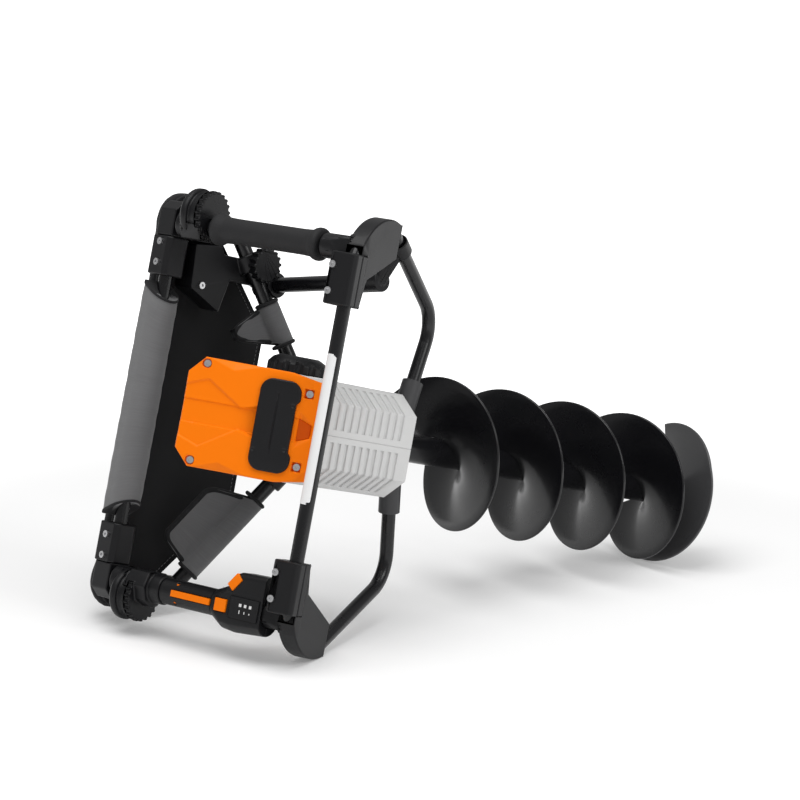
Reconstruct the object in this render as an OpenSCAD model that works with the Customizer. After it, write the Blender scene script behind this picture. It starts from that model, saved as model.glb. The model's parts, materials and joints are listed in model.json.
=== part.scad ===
// Cordless earth auger with a handle frame, a hip pad and its drill bit, lying on its right side.
// Every piece is written in the machine's own axes and laid on the floor by one rigid move.
// Machine axes: X to the user's left, Y to the user, Z up the drill axis, zero at the motor shell's base.

/* [Drill bit] */
// Diameter of the bit
bit_d = 200; // [150:1:220]
// Rise of the flight in one turn
bit_pitch = 122; // [110:1:130]
// Turns of the flight, down to its cutter plate
bit_turns = 3.83; // [3.63:0.02:3.93]
// Thickness of the flight
flight_t = 4; // [3:0.5:6]
// Diameter of the bit's tube
bit_tube_d = 38; // [34:1:42]
// Height of the flight's upper end below the shell
flight_drop = 107; // [100:1:125]
// Direction of the flight's upper end, from the user's left towards the user
flight_phase = 52; // [0:1:359]
// Sweep of the flat cutter plate below the flight's end
cutter_sweep = 264; // [240:2:280]
// Dip of the plate's cutting edge
cutter_dip = 20; // [10:1:26]
// Length of the pilot point
point_l = 66; // [50:1:80]

/* [Drive] */
// Diameter of the drive spindle
spindle_d = 20; // [18:1:22]
// Length of the spindle inside the bit
spindle_grip = 46; // [40:1:60]
// Module of the output gear pair
out_module = 1.5; // [1.4:0.05:1.5]
// Teeth of the output gear
out_teeth = 52; // [48:1:52]
// Teeth of the countershaft pinion
pinion_teeth = 14; // [14:1:16]
// Module of the motor gear pair
motor_module = 0.8; // [0.7:0.05:0.8]
// Teeth of the countershaft wheel
wheel_teeth = 46; // [42:1:48]
// Teeth of the motor pinion
motor_teeth = 14; // [14:1:16]
// Outer diameter of the motor's stator
stator_d = 80; // [70:1:82]
// Height of the motor's stator
stator_h = 56; // [44:1:60]

/* [Motor shell] */
// Width of the shell at its base
shell_base_w = 134; // [128:1:136]
// Width of the shell at its shoulders
shell_w = 136; // [130:1:140]
// Distance from the drill axis to the shell's front
shell_front = 95; // [92:1:98]
// Width of the shell's flat front
shell_face_w = 84; // [76:1:90]
// Height of the shell's front, up to the orange cover
shell_front_h = 158; // [150:1:162]
// Height of the shell's top
shell_top = 275; // [264:1:280]
// Slope of the cover from the horizontal
cover_slope = 42; // [40:1:44]
// Wall of the shell
shell_wall = 5; // [4:0.5:6]
// Grooves in each bank
groove_n = 10; // [6:1:10]
// Depth of a groove
groove_depth = 2.5; // [1:0.25:3]
// Height of the orange cover over the shell
cover_h = 14; // [10:1:16]
// Length of the black name plate across the cover
plate_l = 116; // [96:1:120]
// Diameter of the intake cap on the left flank
cap_d = 78; // [60:1:84]

/* [Battery] */
// Width of the battery
battery_w = 84; // [76:1:88]
// Depth of the battery, front to back
battery_dp = 66; // [58:1:68]
// Height of the battery
battery_h = 124; // [110:1:128]

/* [Front frame] */
// Diameter of the frame tube
tube_d = 18; // [16:1:20]
// Wall of the frame tube
tube_wall = 2; // [1.5:0.25:3]
// Distance from the drill axis to the front cross tube
cross_y = 120; // [117:1:125]
// Height of the front cross tube
cross_z = 179; // [174:1:184]
// Lean of the frame's plane
loop_lean = 21.8; // [20:0.2:24]
// Half the straight length of the cross tube
cross_half = 197; // [190:1:205]
// Radius of the frame's upper bends
bend_r = 72; // [66:1:76]
// Slant of the frame's sides
side_slant = 30; // [28:1:32]
// Straight length of the frame's sides
side_l = 141; // [135:1:146]
// Radius of the frame's knees
knee_r = 45; // [40:1:50]
// Rise of the tube from the knee to the gear case
foot_rise = 16.5; // [14:0.5:18]
// Straight length of tube from the knee to the gear case
foot_l = 78; // [72:1:82]

/* [Handles] */
// Distance of each handle outside the end of the straight cross tube
handle_out = 35; // [31:1:39]
// Drop of the handle's front end below the cross tube, down the frame's lean
handle_below = 13.7; // [12:0.1:16]
// Distance of the handle's front end behind the frame's plane
handle_behind = 29; // [26:1:32]
// Rise of the handles to the rear
handle_rise = 12; // [9:0.5:15]
// Length of the handles
handle_l = 250; // [244:1:256]
// Diameter of the handle tube
handle_d = 22; // [20:1:25]
// Diameter of the foam grip
foam_d = 34; // [30:1:38]
// Radius of the control grip
grip_r = 17; // [16:0.5:18]

/* [Hip pad] */
// Distance from the handle's rear end back to the rear tube
rear_back = 21.5; // [20:0.5:24]
// Drop of the rear tube below the handle's rear end
rear_drop = 3; // [1:0.5:5]
// Distance from the rear tube to the pad's board
board_back = 17.7; // [17:0.1:20]
// Half the length of the hip pad
pad_half = 283; // [278:1:290]
// Rise of the pad's top edge over the rear tube
pad_rise = 9; // [6:1:14]
// Height of the hip pad
pad_h = 213; // [200:1:220]
// Radius of the pad's upper corners
pad_end_r = 42; // [38:1:46]
// Radius of the pad's lower corners
pad_low_r = 40; // [34:1:46]
// Half the length of the pad's lower edge
pad_low_half = 105; // [95:1:115]
// Thickness of the pad
pad_t = 24; // [20:1:30]
// Thickness of the pad's backing board
board_t = 4; // [3:0.5:5]
// Room between the grey sleeve on the rear tube and the clamps beside it
sleeve_room = 9; // [5:0.5:20]
// Diameter of the grey sleeve
sleeve_d = 43; // [40:1:44]

/* [Struts and stay] */
// Diameter of the struts and the stay bar
strut_d = 20; // [18:1:22]
// Length of the padded wraps on the struts
wrap_l = 128; // [116:1:130]
// Tail of the padded wraps, from the strut towards the pad
wrap_tail = 58; // [50:1:60]
// Thickness of the padded wraps
wrap_t = 9; // [7:0.5:10]
// Diameter of the stay's toothed knob
knob_d = 46; // [42:1:50]

/* [Hidden] */
$fn = 64;
fit = 0.05;
gap = 0.3;
eps = 0.01;

function unit(v) = v / norm(v);
function mirror_x(s) = [s < 0 ? 1 : 0, 0, 0];
side = [-1, 1];

// Screws, alike all over the machine.
screw_d = 5;
head_d = 9;
head_h = 3.2;
socket_d = 4.6;
socket_h = 1.8;
module screw(l) {
    difference() {
        cylinder(d = head_d, h = head_h);
        translate([0, 0, head_h - socket_h]) cylinder(d = socket_d, h = socket_h + 1, $fn = 6);
    }
    translate([0, 0, -l]) cylinder(d = screw_d, h = l + eps);
}
module screw_hole(l) translate([0, 0, -l]) cylinder(d = screw_d + 2 * fit, h = l + 1);

// Front frame in its own plane: x to the left, y up the lean, z to the front.
bracket_front = 14;
wing_t = 24;
wing_wall = 1.5;
wing_r = bend_r + tube_d / 2 + wing_wall;
bend_c = [cross_half, -bend_r];
bend_end = bend_c + bend_r * [cos(side_slant), -sin(side_slant)];
side_end = bend_end - side_l * [sin(side_slant), cos(side_slant)];
knee_c = side_end + knee_r * [-cos(side_slant), sin(side_slant)];
knee_end = knee_c - knee_r * [sin(foot_rise), cos(foot_rise)];
foot_end = knee_end + foot_l * [-cos(foot_rise), sin(foot_rise)];
loop_back = [0, cos(loop_lean), sin(loop_lean)];
function loop_pt(p, back = 0) = [p.x, -cross_y - p.y * sin(loop_lean), cross_z + p.y * cos(loop_lean)]
    + back * loop_back;

// Handles, and the rear tube and pad that hang on them.
handle_x = cross_half + handle_out;
handle_dir = [0, cos(handle_rise), sin(handle_rise)];
function handle_pt(s, z) = loop_pt([s * handle_x, -handle_below], handle_behind) + z * handle_dir;
dome_r = 33;
dome_off = 15;
dome_rear = 12;
dome_step = 5;
rear = handle_pt(0, handle_l) + [0, rear_back, -rear_drop];
board_y = rear.y + board_back;
pad_y = board_y + board_t;
pad_top = rear.z + pad_rise;
pad_low = pad_top - pad_h;

// Drill bit below the shell.
bit_r = bit_d / 2;
bit_top = -50;
function flight_z(k) = -flight_drop - bit_pitch * k;
cutter_from = bit_turns - cutter_sweep / 360;
cutter_bend = 80;
function cutter_z(k) = flight_z(bit_turns) - flight_t - gap / 3
    - cutter_dip * max(0, 1 - 360 * (k - cutter_from) / cutter_bend);
bit_foot = 8;
bit_low = cutter_z(cutter_from) - bit_foot;
point_z = bit_low - point_l;

// Three places touch the floor: the right bend, the right end of the pad and the rim of the cutter plate.
function rim_pt(k) = [bit_r * cos(flight_phase - 360 * k), bit_r * sin(flight_phase - 360 * k),
    cutter_z(k) - flight_t / 2];
function bend_touch(n) = loop_pt([-bend_c.x, bend_c.y], (n * loop_back > 0 ? -1 : 1) * wing_t / 2)
    - wing_r * unit(n - (n * loop_back) * loop_back);
function pad_touch(n) = [pad_end_r - pad_half, pad_y + pad_t / 2, pad_top - pad_end_r]
    - pad_end_r * unit([n.x, 0, n.z]);
rim_step = 0.004;
rim_turns = [for (k = [cutter_from : rim_step : bit_turns]) k];
function rim_touch(n) = let (low = min([for (k = rim_turns) n * rim_pt(k)]))
    [for (k = rim_turns) if (n * rim_pt(k) <= low) rim_pt(k)][0];
function floor_normal(n, tries) = tries == 0 ? n : let (
        a = bend_touch(n),
        m = unit(cross(pad_touch(n) - a, rim_touch(n) - a)))
    floor_normal(m.x < 0 ? -m : m, tries - 1);

// The machine as it lies: row x along the drill towards its point, row y to the user's side, row z up.
row_z = floor_normal([1, 0, 0], 12);
row_x = unit(row_z.z * row_z - [0, 0, 1]);
row_y = cross(row_z, row_x);
row_mid = [
    (row_x * [0, 0, point_z] + row_x * (handle_pt(-1, handle_l - dome_rear - dome_step) - [dome_off, 0, 0])
        - dome_r * sqrt(1 - pow(row_x * handle_dir, 2))) / 2,
    (row_y * loop_pt([0, 0], -bracket_front) + row_y * [0, pad_y + pad_t, pad_top]) / 2,
    row_z * rim_touch(row_z)];
lay = concat([for (k = [0 : 2]) concat([row_x, row_y, row_z][k], -row_mid[k])], [[0, 0, 0, 1]]);
module laid() multmatrix(lay) children();
module on_loop() translate(loop_pt([0, 0])) rotate([90 + loop_lean, 0, 0]) children();
module on_handle(s) translate(handle_pt(s, 0)) rotate([handle_rise - 90, 0, 0]) children();

// Shared shapes.
module run(p, q, d) translate(p)
    rotate([0, acos((q - p).z / norm(q - p)), atan2((q - p).y, (q - p).x)]) cylinder(d = d, h = norm(q - p));
module pipe(p, q, d, wall) difference() {
    run(p, q, d);
    run(p - unit(q - p), q + unit(q - p), d - 2 * wall);
}
module bend(r, turn, d, wall) rotate_extrude(angle = turn) translate([r, 0]) difference() {
    circle(d = d);
    circle(d = d - 2 * wall);
}
module slab(low, high) translate(low) cube(high - low);
module skin(rings) {
    n = len(rings[0]);
    m = len(rings);
    polyhedron(
        points = [for (r = rings) each r],
        faces = concat(
            [[for (i = [n - 1 : -1 : 0]) i]],
            [for (j = [0 : m - 2], i = [0 : n - 1]) each [
                [j * n + i, j * n + (i + 1) % n, (j + 1) * n + i],
                [j * n + (i + 1) % n, (j + 1) * n + (i + 1) % n, (j + 1) * n + i]]],
            [[for (i = [0 : n - 1]) (m - 1) * n + i]]));
}

// Front frame tube, with a hairline seam where a bend meets a straight.
seam = 0.02;
module straight(p, turn, l) translate([p.x, p.y, 0]) rotate([0, 0, turn]) rotate([0, 90, 0])
    translate([0, 0, seam]) difference() {
        cylinder(d = tube_d, h = l - 2 * seam);
        translate([0, 0, -1]) cylinder(d = tube_d - 2 * tube_wall, h = l + 2);
    }
module loop_half() {
    translate([bend_c.x, bend_c.y, 0]) rotate([0, 0, -side_slant])
        bend(bend_r, 90 + side_slant, tube_d, tube_wall);
    straight(bend_end, -90 - side_slant, side_l);
    translate([knee_c.x, knee_c.y, 0]) rotate([0, 0, -90 - foot_rise])
        bend(knee_r, 90 + foot_rise - side_slant, tube_d, tube_wall);
    straight(knee_end, 180 - foot_rise, foot_l);
}
module frame_tube() color("#1c1c1e") laid() on_loop() {
    straight([-cross_half, 0], 0, 2 * cross_half);
    loop_half();
    mirror([1, 0, 0]) loop_half();
}

// Brackets that join the cross tube to the handles.
bracket_in = 37;
bracket_grip = 30;
bracket_out = 29;
bracket_up = 18;
bracket_rear = 24;
bracket_edge = 5;
bracket_x0 = cross_half - bracket_in;
bracket_x1 = cross_half + bracket_out;
bracket_screw_z = -tube_d / 2 - 7;
bracket_bite = 12;
wing_neck = 26;
wing_low = 98;
handle_seat = 20;
handle_boss = 22;
boss_wall = 5;
// Room for the tube: a round grip on its straight, and a square channel round its bend.
module bracket_bore() {
    half = tube_d / 2 + gap;
    translate([bracket_x0 - 1, 0, 0]) rotate([0, 90, 0])
        cylinder(d = tube_d + 2 * fit, h = bracket_grip + 1);
    slab([bracket_x0 + bracket_grip - eps, -half, -half], [cross_half, half, half]);
    translate([bend_c.x, bend_c.y, 0]) rotate([0, 0, -side_slant]) rotate_extrude(angle = 90 + side_slant)
        translate([bend_r - half, -half]) square(2 * half);
}
module bracket_prism() translate([bracket_x0, 0, 0]) rotate([90, 0, 90])
    linear_extrude(bracket_x1 - bracket_x0) polygon([
        [0, -bracket_rear], [bracket_up - bracket_edge, -bracket_rear],
            [bracket_up, bracket_edge - bracket_rear],
        [bracket_up, bracket_front - bracket_edge], [bracket_up - bracket_edge, bracket_front],
        [0, bracket_front]]);
module bracket_screw_places() for (x = [cross_half - 21, cross_half + 12])
    translate([x, bracket_up, bracket_screw_z]) rotate([-90, 0, 0]) children();
module bracket_cap() color("#202022") difference() {
    bracket_prism();
    bracket_bore();
    bracket_screw_places() screw_hole(bracket_up + 1);
}
module bracket_wing(s) color("#202022") difference() {
    union() {
        on_loop() mirror(mirror_x(s)) {
            mirror([0, 1, 0]) bracket_prism();
            intersection() {
                translate([0, 0, -wing_t / 2]) linear_extrude(wing_t) polygon([
                    [bracket_x0 + 2, 0], [bracket_x0 + 2, -bracket_up], [cross_half, -wing_neck],
                    [handle_x, -wing_low], [cross_half + wing_r + 1, -wing_low],
                        [cross_half + wing_r + 1, 0]]);
                translate([bend_c.x, bend_c.y, -wing_t]) cylinder(r = wing_r, h = 2 * wing_t);
            }
        }
        on_handle(s) translate([0, 0, -handle_boss])
            cylinder(d = handle_d + 2 * boss_wall, h = handle_boss + handle_seat);
    }
    on_loop() mirror(mirror_x(s)) {
        bracket_bore();
        slab([bracket_x0 - 1, 0, -2 * handle_behind], [handle_x + bend_r, bend_r, 2 * bracket_front]);
        bracket_screw_places() screw_hole(bracket_up + bracket_bite + 1);
    }
    on_handle(s) cylinder(d = handle_d + 2 * fit, h = handle_seat + 1);
}
module bracket_cap_left() laid() on_loop() bracket_cap();
module bracket_cap_right() laid() on_loop() mirror([1, 0, 0]) bracket_cap();
module bracket_wing_left() laid() bracket_wing(1);
module bracket_wing_right() laid() bracket_wing(-1);
module bracket_screws() color("silver") laid() on_loop() for (s = side) mirror(mirror_x(s))
    bracket_screw_places() screw(bracket_up + bracket_bite);

// Left handle.
foam_from = 24;
foam_to = 56;
collar_more = 4;
collar_l = 14;
module handle_tube_left() color("#1c1c1e") laid() on_handle(1)
    pipe([0, 0, gap], [0, 0, handle_l - gap], handle_d, tube_wall);
module foam_grip() color("#262628") laid() on_handle(1) {
    z0 = foam_from;
    z1 = handle_l - foam_to;
    r0 = handle_d / 2 + fit;
    r1 = foam_d / 2;
    r2 = r1 + collar_more;
    rotate_extrude() polygon([[r0, z0], [r1, z0], [r2, z0 + collar_more], [r2, z0 + collar_l],
        [r1, z0 + collar_l + 2 * collar_more], [r1, z1 - collar_l - 2 * collar_more], [r2, z1 - collar_l],
        [r2, z1 - collar_more], [r1, z1], [r0, z1]]);
}

// Control handle on the right: its own z runs to the rear, y down and x to the user's left.
head_z0 = 2;
head_z1 = 78;
head_r = 22;
head_top = 18;
neck_l = 4;
disc_t = 2;
grip_rear = 82;
grip_z1 = handle_l - grip_rear;
grip_plug = 10;
control_wall = 3;
boss_r = handle_d / 2 + boss_wall + gap;
hollow_z = handle_seat + gap + control_wall;
reach = 60;
pivot_d = 4;
// Stations of the head: where it starts, its widest place, its rear and the neck of the grip.
head_line = [[-6, 8, head_z0], [-9, 8, 46], [-7, 4, 64]];
// Hump on its left side, which ends in a slanted face for the lock.
hump_r = 8;
hump_y = [hump_r - head_top, 12];
hump_line = [[38, head_z0], [37, 44], [17, 60]];
hump_top = hump_line[1] + [hump_r, disc_t];
hump_foot = hump_line[2] + [hump_r, disc_t];
hump_turn = atan2(hump_foot.y - hump_top.y, hump_top.x - hump_foot.x);
hump_wall = control_wall * sin(hump_turn);
trigger_at = [grip_r - 6, head_z1 + 4];
trigger_w = 14;
trigger_l = 40;
trigger_out = 10;
trigger_room = 2;
palm_at = [6 - grip_r, grip_z1 - 25];
palm_w = 8;
palm_z0 = head_z1 + 5;
palm_out = 2.5;
button_size = [16, 18];
button_z = 66;
button_out = 2;
lock_size = [20, 24];
lock_proud = 0.8;
lock_y = -head_top - lock_proud;
lock_deep = 11;
lock_play = 5;
lock_out = 1;
panel_low = [-13, 6];
panel_size = [28, 46];
panel_t = 1.2;
flange = 1.5;
flange_t = 2;
module disc(p, r) translate(p) cylinder(r = r, h = disc_t, $fn = 32);
module control_body(inset) {
    intersection() {
        union() {
            hull() {
                for (p = head_line, k = [0, 1]) disc([p[k], 0, p[2]], head_r - inset);
                disc([0, 0, head_z1 + neck_l - inset], grip_r + 1 - inset);
            }
            hull() for (p = hump_line, y = hump_y) {
                disc([0, y, p.y], hump_r - inset);
                disc([p.x, y, p.y], hump_r - inset);
            }
        }
        slab([-reach, inset - head_top, inset > 0 ? hollow_z : 0], [reach, reach, grip_z1]);
    }
    translate([0, 0, head_z1]) cylinder(r = grip_r - inset, h =
        grip_z1 - head_z1 - (inset > 0 ? grip_plug : 0));
}
module control_solid() difference() {
    union() {
        difference() {
            control_body(0);
            translate([0, 0, -1]) cylinder(r = boss_r, h = handle_seat + gap + 1);
        }
        cylinder(d = handle_d, h = hollow_z);
    }
    control_body(control_wall);
    translate([0, 0, -1]) cylinder(d = handle_d - 4 * tube_wall, h = hollow_z + 2);
    translate([0, 0, grip_z1 - grip_plug - 1]) cylinder(d = handle_d + 2 * fit, h = grip_plug + 2);
    on_hump() slab([-lock_size.x / 2 - gap, lock_y - gap, -lock_deep - gap],
        [lock_size.x / 2 + gap, lock_y + lock_size.y + lock_play + gap, lock_out + hump_r]);
}
module across(at, l, d) translate([-l / 2, at.x, at.y]) rotate([0, 90, 0]) cylinder(d = d, h = l);
module on_hump() translate([hump_top.x + hump_foot.x, 0, hump_top.y + hump_foot.y] / 2)
    rotate([0, hump_turn, 0]) children();
module control_shell_upper() color("#202022") laid() on_handle(-1) difference() {
    intersection() {
        control_solid();
        slab([-reach, -reach, gap], [reach, 0, grip_z1]);
    }
    slab([-palm_w / 2 - gap, -reach, palm_z0], [palm_w / 2 + gap, -grip_r / 2, palm_at.y + pivot_d + gap]);
    translate([0, -reach, button_z]) slab([-button_size.x / 2 - gap, 0, -button_size.y / 2 - gap],
        [button_size.x / 2 + gap, reach, button_size.y / 2 + gap]);
    across(palm_at, 4 * grip_r, pivot_d + 2 * fit);
}
module control_shell_lower() color("#202022") laid() on_handle(-1) difference() {
    intersection() {
        control_solid();
        slab([-reach, 0, gap], [reach, reach, grip_z1]);
    }
    slab([-trigger_w / 2 - gap, trigger_at.x - pivot_d - gap, trigger_at.y - pivot_d - 2 * gap],
        [trigger_w / 2 + gap, reach, trigger_at.y + trigger_l + trigger_room]);
    across(trigger_at, 4 * grip_r, pivot_d + 2 * fit);
}
module handle_core_right() color("#1c1c1e") laid() on_handle(-1)
    pipe([0, 0, grip_z1 - grip_plug + gap], [0, 0, handle_l - gap], handle_d, tube_wall);
trigger_tip = 6;
module trigger() color("#202022") laid() on_handle(-1) {
    translate([-trigger_w / 2, trigger_at.x, trigger_at.y]) rotate([90, 0, 90]) linear_extrude(trigger_w)
        polygon([
        [-pivot_d, gap - pivot_d], [pivot_d, gap - pivot_d],
            [trigger_tip + trigger_out * 0.6, trigger_l * 0.35],
        [trigger_tip + trigger_out, trigger_l - trigger_tip], [trigger_out + 1, trigger_l - gap],
        [1, trigger_l - trigger_tip]]);
    across(trigger_at, 2 * (grip_r - control_wall - 1), pivot_d);
}
module palm_lever() color("#f47b12") laid() on_handle(-1) {
    low = palm_at.x + pivot_d / 2 + 1;
    top = -grip_r - palm_out;
    end = palm_at.y + pivot_d - gap;
    translate([-palm_w / 2, 0, 0]) rotate([90, 0, 90]) linear_extrude(palm_w) polygon([
        [top, palm_z0 + 1], [top, end], [low, end], [low, palm_at.y - pivot_d],
        [control_wall + 1 - grip_r, palm_z0 + 1]]);
    across(palm_at, 2 * (grip_r - control_wall - 2), pivot_d);
}
module mode_button() color("#f47b12") laid() on_handle(-1) translate([0, -head_top, button_z]) {
    b = button_size / 2;
    slab([-b.x, -button_out, -b.y], [b.x, control_wall + gap + flange_t, b.y]);
    translate([0, control_wall + gap, 0]) slab([-b.x - flange, 0, -b.y], [b.x + flange, flange_t, 0]);
}
module lock_slider() color("#f47b12") laid() on_handle(-1) on_hump() {
    b = lock_size / 2;
    low = -hump_wall - gap - flange_t;
    slab([-b.x, lock_y, -lock_deep], [b.x, lock_y + lock_size.y, lock_out]);
    slab([-b.x - flange, lock_y + b.y, low], [b.x, lock_y + lock_size.y, low + flange_t]);
}
module indicator_panel() color("#141416") laid() on_handle(-1)
    slab([panel_low.x, -head_top - panel_t, panel_low.y],
    [panel_low.x + panel_size.x, -head_top, panel_low.y + panel_size.y]);
switch_x = [-7, 6];
switch_z = [32, 60];
module switch_block() color("#303034") laid() on_handle(-1)
    slab([switch_x[0], 0, switch_z[0]], [switch_x[1], head_r - control_wall - gap / 3, switch_z[1]]);

// Struts from the motor shell to the pad's ends.
strut_wall = 2;
strut_rise = 33;
strut_span = 60;
strut_back = 18;
strut_down = 98;
strut_off = 4;
strut_front = 7;
shell_rear = 88;
function strut_in(s) = [s * strut_span, shell_rear + strut_back, strut_rise];
function strut_out(s) = [s * (handle_x + strut_off), rear.y - strut_front, rear.z - strut_down];
function strut_dir(s) = unit(strut_out(s) - strut_in(s));
function strut_pt(s, l) = strut_in(s) + l * strut_dir(s);
module strut(s) color("#1c1c1e") pipe(strut_in(s), strut_out(s), strut_d, strut_wall);
module strut_left() laid() strut(1);
module strut_right() laid() strut(-1);
yoke_socket = 24;
yoke_wall = 5;
yoke_t = 12;
yoke_z = [12, 54];
module strut_yoke() color("#202022") laid() difference() {
    union() {
        slab([-strut_span - yoke_wall, shell_rear, yoke_z[0]],
            [strut_span + yoke_wall, shell_rear + yoke_t, yoke_z[1]]);
        for (s = side) run(strut_pt(s, -yoke_wall), strut_pt(s, yoke_socket), strut_d + 2 * yoke_wall);
    }
    for (s = side) run(strut_in(s), strut_pt(s, yoke_socket + 1), strut_d + 2 * fit);
}

// Padded wraps: a round part on the strut and a flat tail up towards the pad.
wrap_from = 52;
wrap_clear = 47;
strut_l = norm(strut_out(1) - strut_in(1));
stay_clamp_rear = 31.6;
stay_clamp_l = 22;
stay_clamp = [strut_l - stay_clamp_rear - stay_clamp_l, strut_l - stay_clamp_rear];
wrap_left_l = stay_clamp[0] - wrap_from - wrap_clear;
tail_rise = 62;
tail_in = 30;
tail_out = 12;
tail_out_left = 14;
wrap_r = strut_d / 2 + gap + wrap_t / 2;
module on_strut(s, l) {
    u = strut_dir(s);
    t0 = [0, cos(tail_rise), sin(tail_rise)];
    t = unit(t0 - (t0 * u) * u);
    b = cross(u, t);
    p = strut_pt(s, l);
    multmatrix([for (k = [0 : 2]) [t[k], b[k], u[k], p[k]]]) children();
}
module strut_wrap(s, l, out) color("#46484b") on_strut(s, wrap_from) difference() {
    union() {
        cylinder(r = wrap_r, h = l);
        translate([0, wrap_t / 2, 0]) rotate([90, 0, 0]) linear_extrude(wrap_t)
            polygon([[0, 0], [wrap_tail, tail_in], [wrap_tail, l - out], [0, l]]);
        translate([wrap_tail, 0, tail_in]) cylinder(d = wrap_t, h = l - out - tail_in);
    }
    translate([0, 0, -1]) cylinder(d = strut_d + 2 * gap, h = l + 2);
}
module strut_wrap_left() laid() strut_wrap(1, wrap_left_l, tail_out_left);
module strut_wrap_right() laid() strut_wrap(-1, wrap_l, tail_out);

// Hubs at the rear ends of the handles.
hub_in = 18.7;
collar_from = 44;
neck_d = 38;
neck_rear = 64;
hub_collar_l = 32;
hub_collar_d = 52;
dome_l = 26;
ring_r = 32;
ring_t = 9;
ring_teeth = 22;
tooth_d = 5;
arm_in = 10;
arm_out = 18;
arm_front = 18;
arm_low = 16;
mount_out = 28;
mount_up = 15;
mount_low = 20;
mount_front = 15;
mount_bevel = 12;
module hub_dome() translate([0, 0, handle_l - dome_rear]) rotate([180, 0, 0]) {
    rotate_extrude() polygon([[0, 0], [dome_r - dome_step, 0], [dome_r, dome_step], [dome_r, dome_l / 2],
        [dome_r - dome_step, dome_l / 2 + gap], [dome_r - dome_step, dome_l], [0, dome_l]]);
    translate([0, 0, dome_l - eps]) difference() {
        cylinder(r = ring_r, h = ring_t);
        for (k = [1 : ring_teeth]) rotate([0, 0, 360 * k / ring_teeth]) translate([ring_r, 0, -1])
            cylinder(d = tooth_d, h = ring_t + 2);
    }
}
module hub_mount() rotate([90, 0, 0]) linear_extrude(board_y - rear.y + mount_front) polygon([
    [handle_x - hub_in, rear.z - mount_low], [handle_x + mount_out, rear.z - mount_low],
    [handle_x + mount_out, rear.z + mount_up - mount_bevel],
    [handle_x + mount_out - mount_bevel, rear.z + mount_up], [handle_x - hub_in, rear.z + mount_up]]);
module hub(s) color("#202022") difference() {
    union() {
        on_handle(s) {
            from = s > 0 ? collar_from : neck_rear;
            translate([0, 0, handle_l - from]) cylinder(d = hub_collar_d, h = hub_collar_l, $fn = 8);
            translate([0, 0, s > 0 ? handle_l - from : grip_z1 + gap])
                cylinder(d = neck_d, h = s > 0 ? collar_from : grip_rear - gap);
            translate([s * dome_off, 0, 0]) hub_dome();
        }
        mirror(mirror_x(s)) translate([0, board_y, 0]) hub_mount();
        mirror(mirror_x(s)) slab([handle_x - arm_in, rear.y - arm_front, strut_out(1).z - arm_low],
            [handle_x + arm_out, board_y, rear.z]);
    }
    slab([-2 * handle_x, board_y, 0], [2 * handle_x, 2 * board_y, 2 * rear.z]);
    slab([hub_in - handle_x, 0, 0], [handle_x - hub_in, board_y + 1, 2 * rear.z]);
    on_handle(s) translate([0, 0, handle_l / 2]) cylinder(d = handle_d + 2 * fit, h = handle_l / 2);
    run([0, rear.y, rear.z], [s * handle_x, rear.y, rear.z], tube_d + 2 * fit);
    run(strut_in(s), strut_out(s), strut_d + 2 * fit);
}
module rear_hub_left() laid() hub(1);
module rear_hub_right() laid() hub(-1);
module rear_tube() color("#1c1c1e") laid() pipe([gap - handle_x, rear.y, rear.z],
    [handle_x - gap, rear.y, rear.z],
    tube_d, tube_wall);

// Blocks that hold the rear tube to the pad's board.
clamp_l = 51;
clamp_up = 18;
clamp_front = 17;
clamp_edge = 6;
clamp_x1 = handle_x - hub_in - gap;
clamp_screw_in = [35, 8];
module clamp_screw_places(s) for (d = clamp_screw_in)
    translate([s * (clamp_x1 - d), rear.y, rear.z + clamp_up]) children();
module rear_clamp(s) color("#202022") difference() {
    mirror(mirror_x(s)) translate([clamp_x1 - clamp_l, rear.y, rear.z]) rotate([90, 0, 90])
        linear_extrude(clamp_l)
        polygon([[-clamp_front, clamp_edge - clamp_up], [clamp_edge - clamp_front, -clamp_up],
            [board_back, -clamp_up],
            [board_back, clamp_up], [clamp_edge - clamp_front, clamp_up],
                [-clamp_front, clamp_up - clamp_edge]]);
    run([0, rear.y, rear.z], [s * handle_x, rear.y, rear.z], tube_d + 2 * fit);
    clamp_screw_places(s) screw_hole(clamp_up);
}
module rear_clamp_left() laid() rear_clamp(1);
module rear_clamp_right() laid() rear_clamp(-1);
module rear_screws() color("silver") laid() {
    for (s = side) clamp_screw_places(s) screw(clamp_up - tube_d / 2 - gap);
    stay_screw_place() screw(stay_depth / 2);
}

// Grey sleeve on the rear tube, longer at the pad than at its front.
sleeve_slant = 29;
sleeve_half = clamp_x1 - clamp_l - sleeve_room;
module rear_sleeve() color("#6d6e70") laid() difference() {
    translate([-sleeve_half, 0, 0]) rotate([90, 0, 90]) linear_extrude(2 * sleeve_half) difference() {
        union() {
            translate([rear.y, rear.z]) circle(d = sleeve_d);
            translate([rear.y, rear.z - sleeve_d / 2]) square([board_back - gap, sleeve_d]);
        }
        translate([rear.y, rear.z]) circle(d = tube_d + 2 * gap);
        translate([board_y - gap, rear.z - sleeve_d]) square(2 * sleeve_d);
    }
    for (s = side) mirror(mirror_x(s)) translate([sleeve_half, board_y, 0]) rotate([0, 0, -sleeve_slant])
        slab([0, -3 * sleeve_d, 0], [3 * sleeve_d, sleeve_d, 2 * rear.z]);
}

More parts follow.
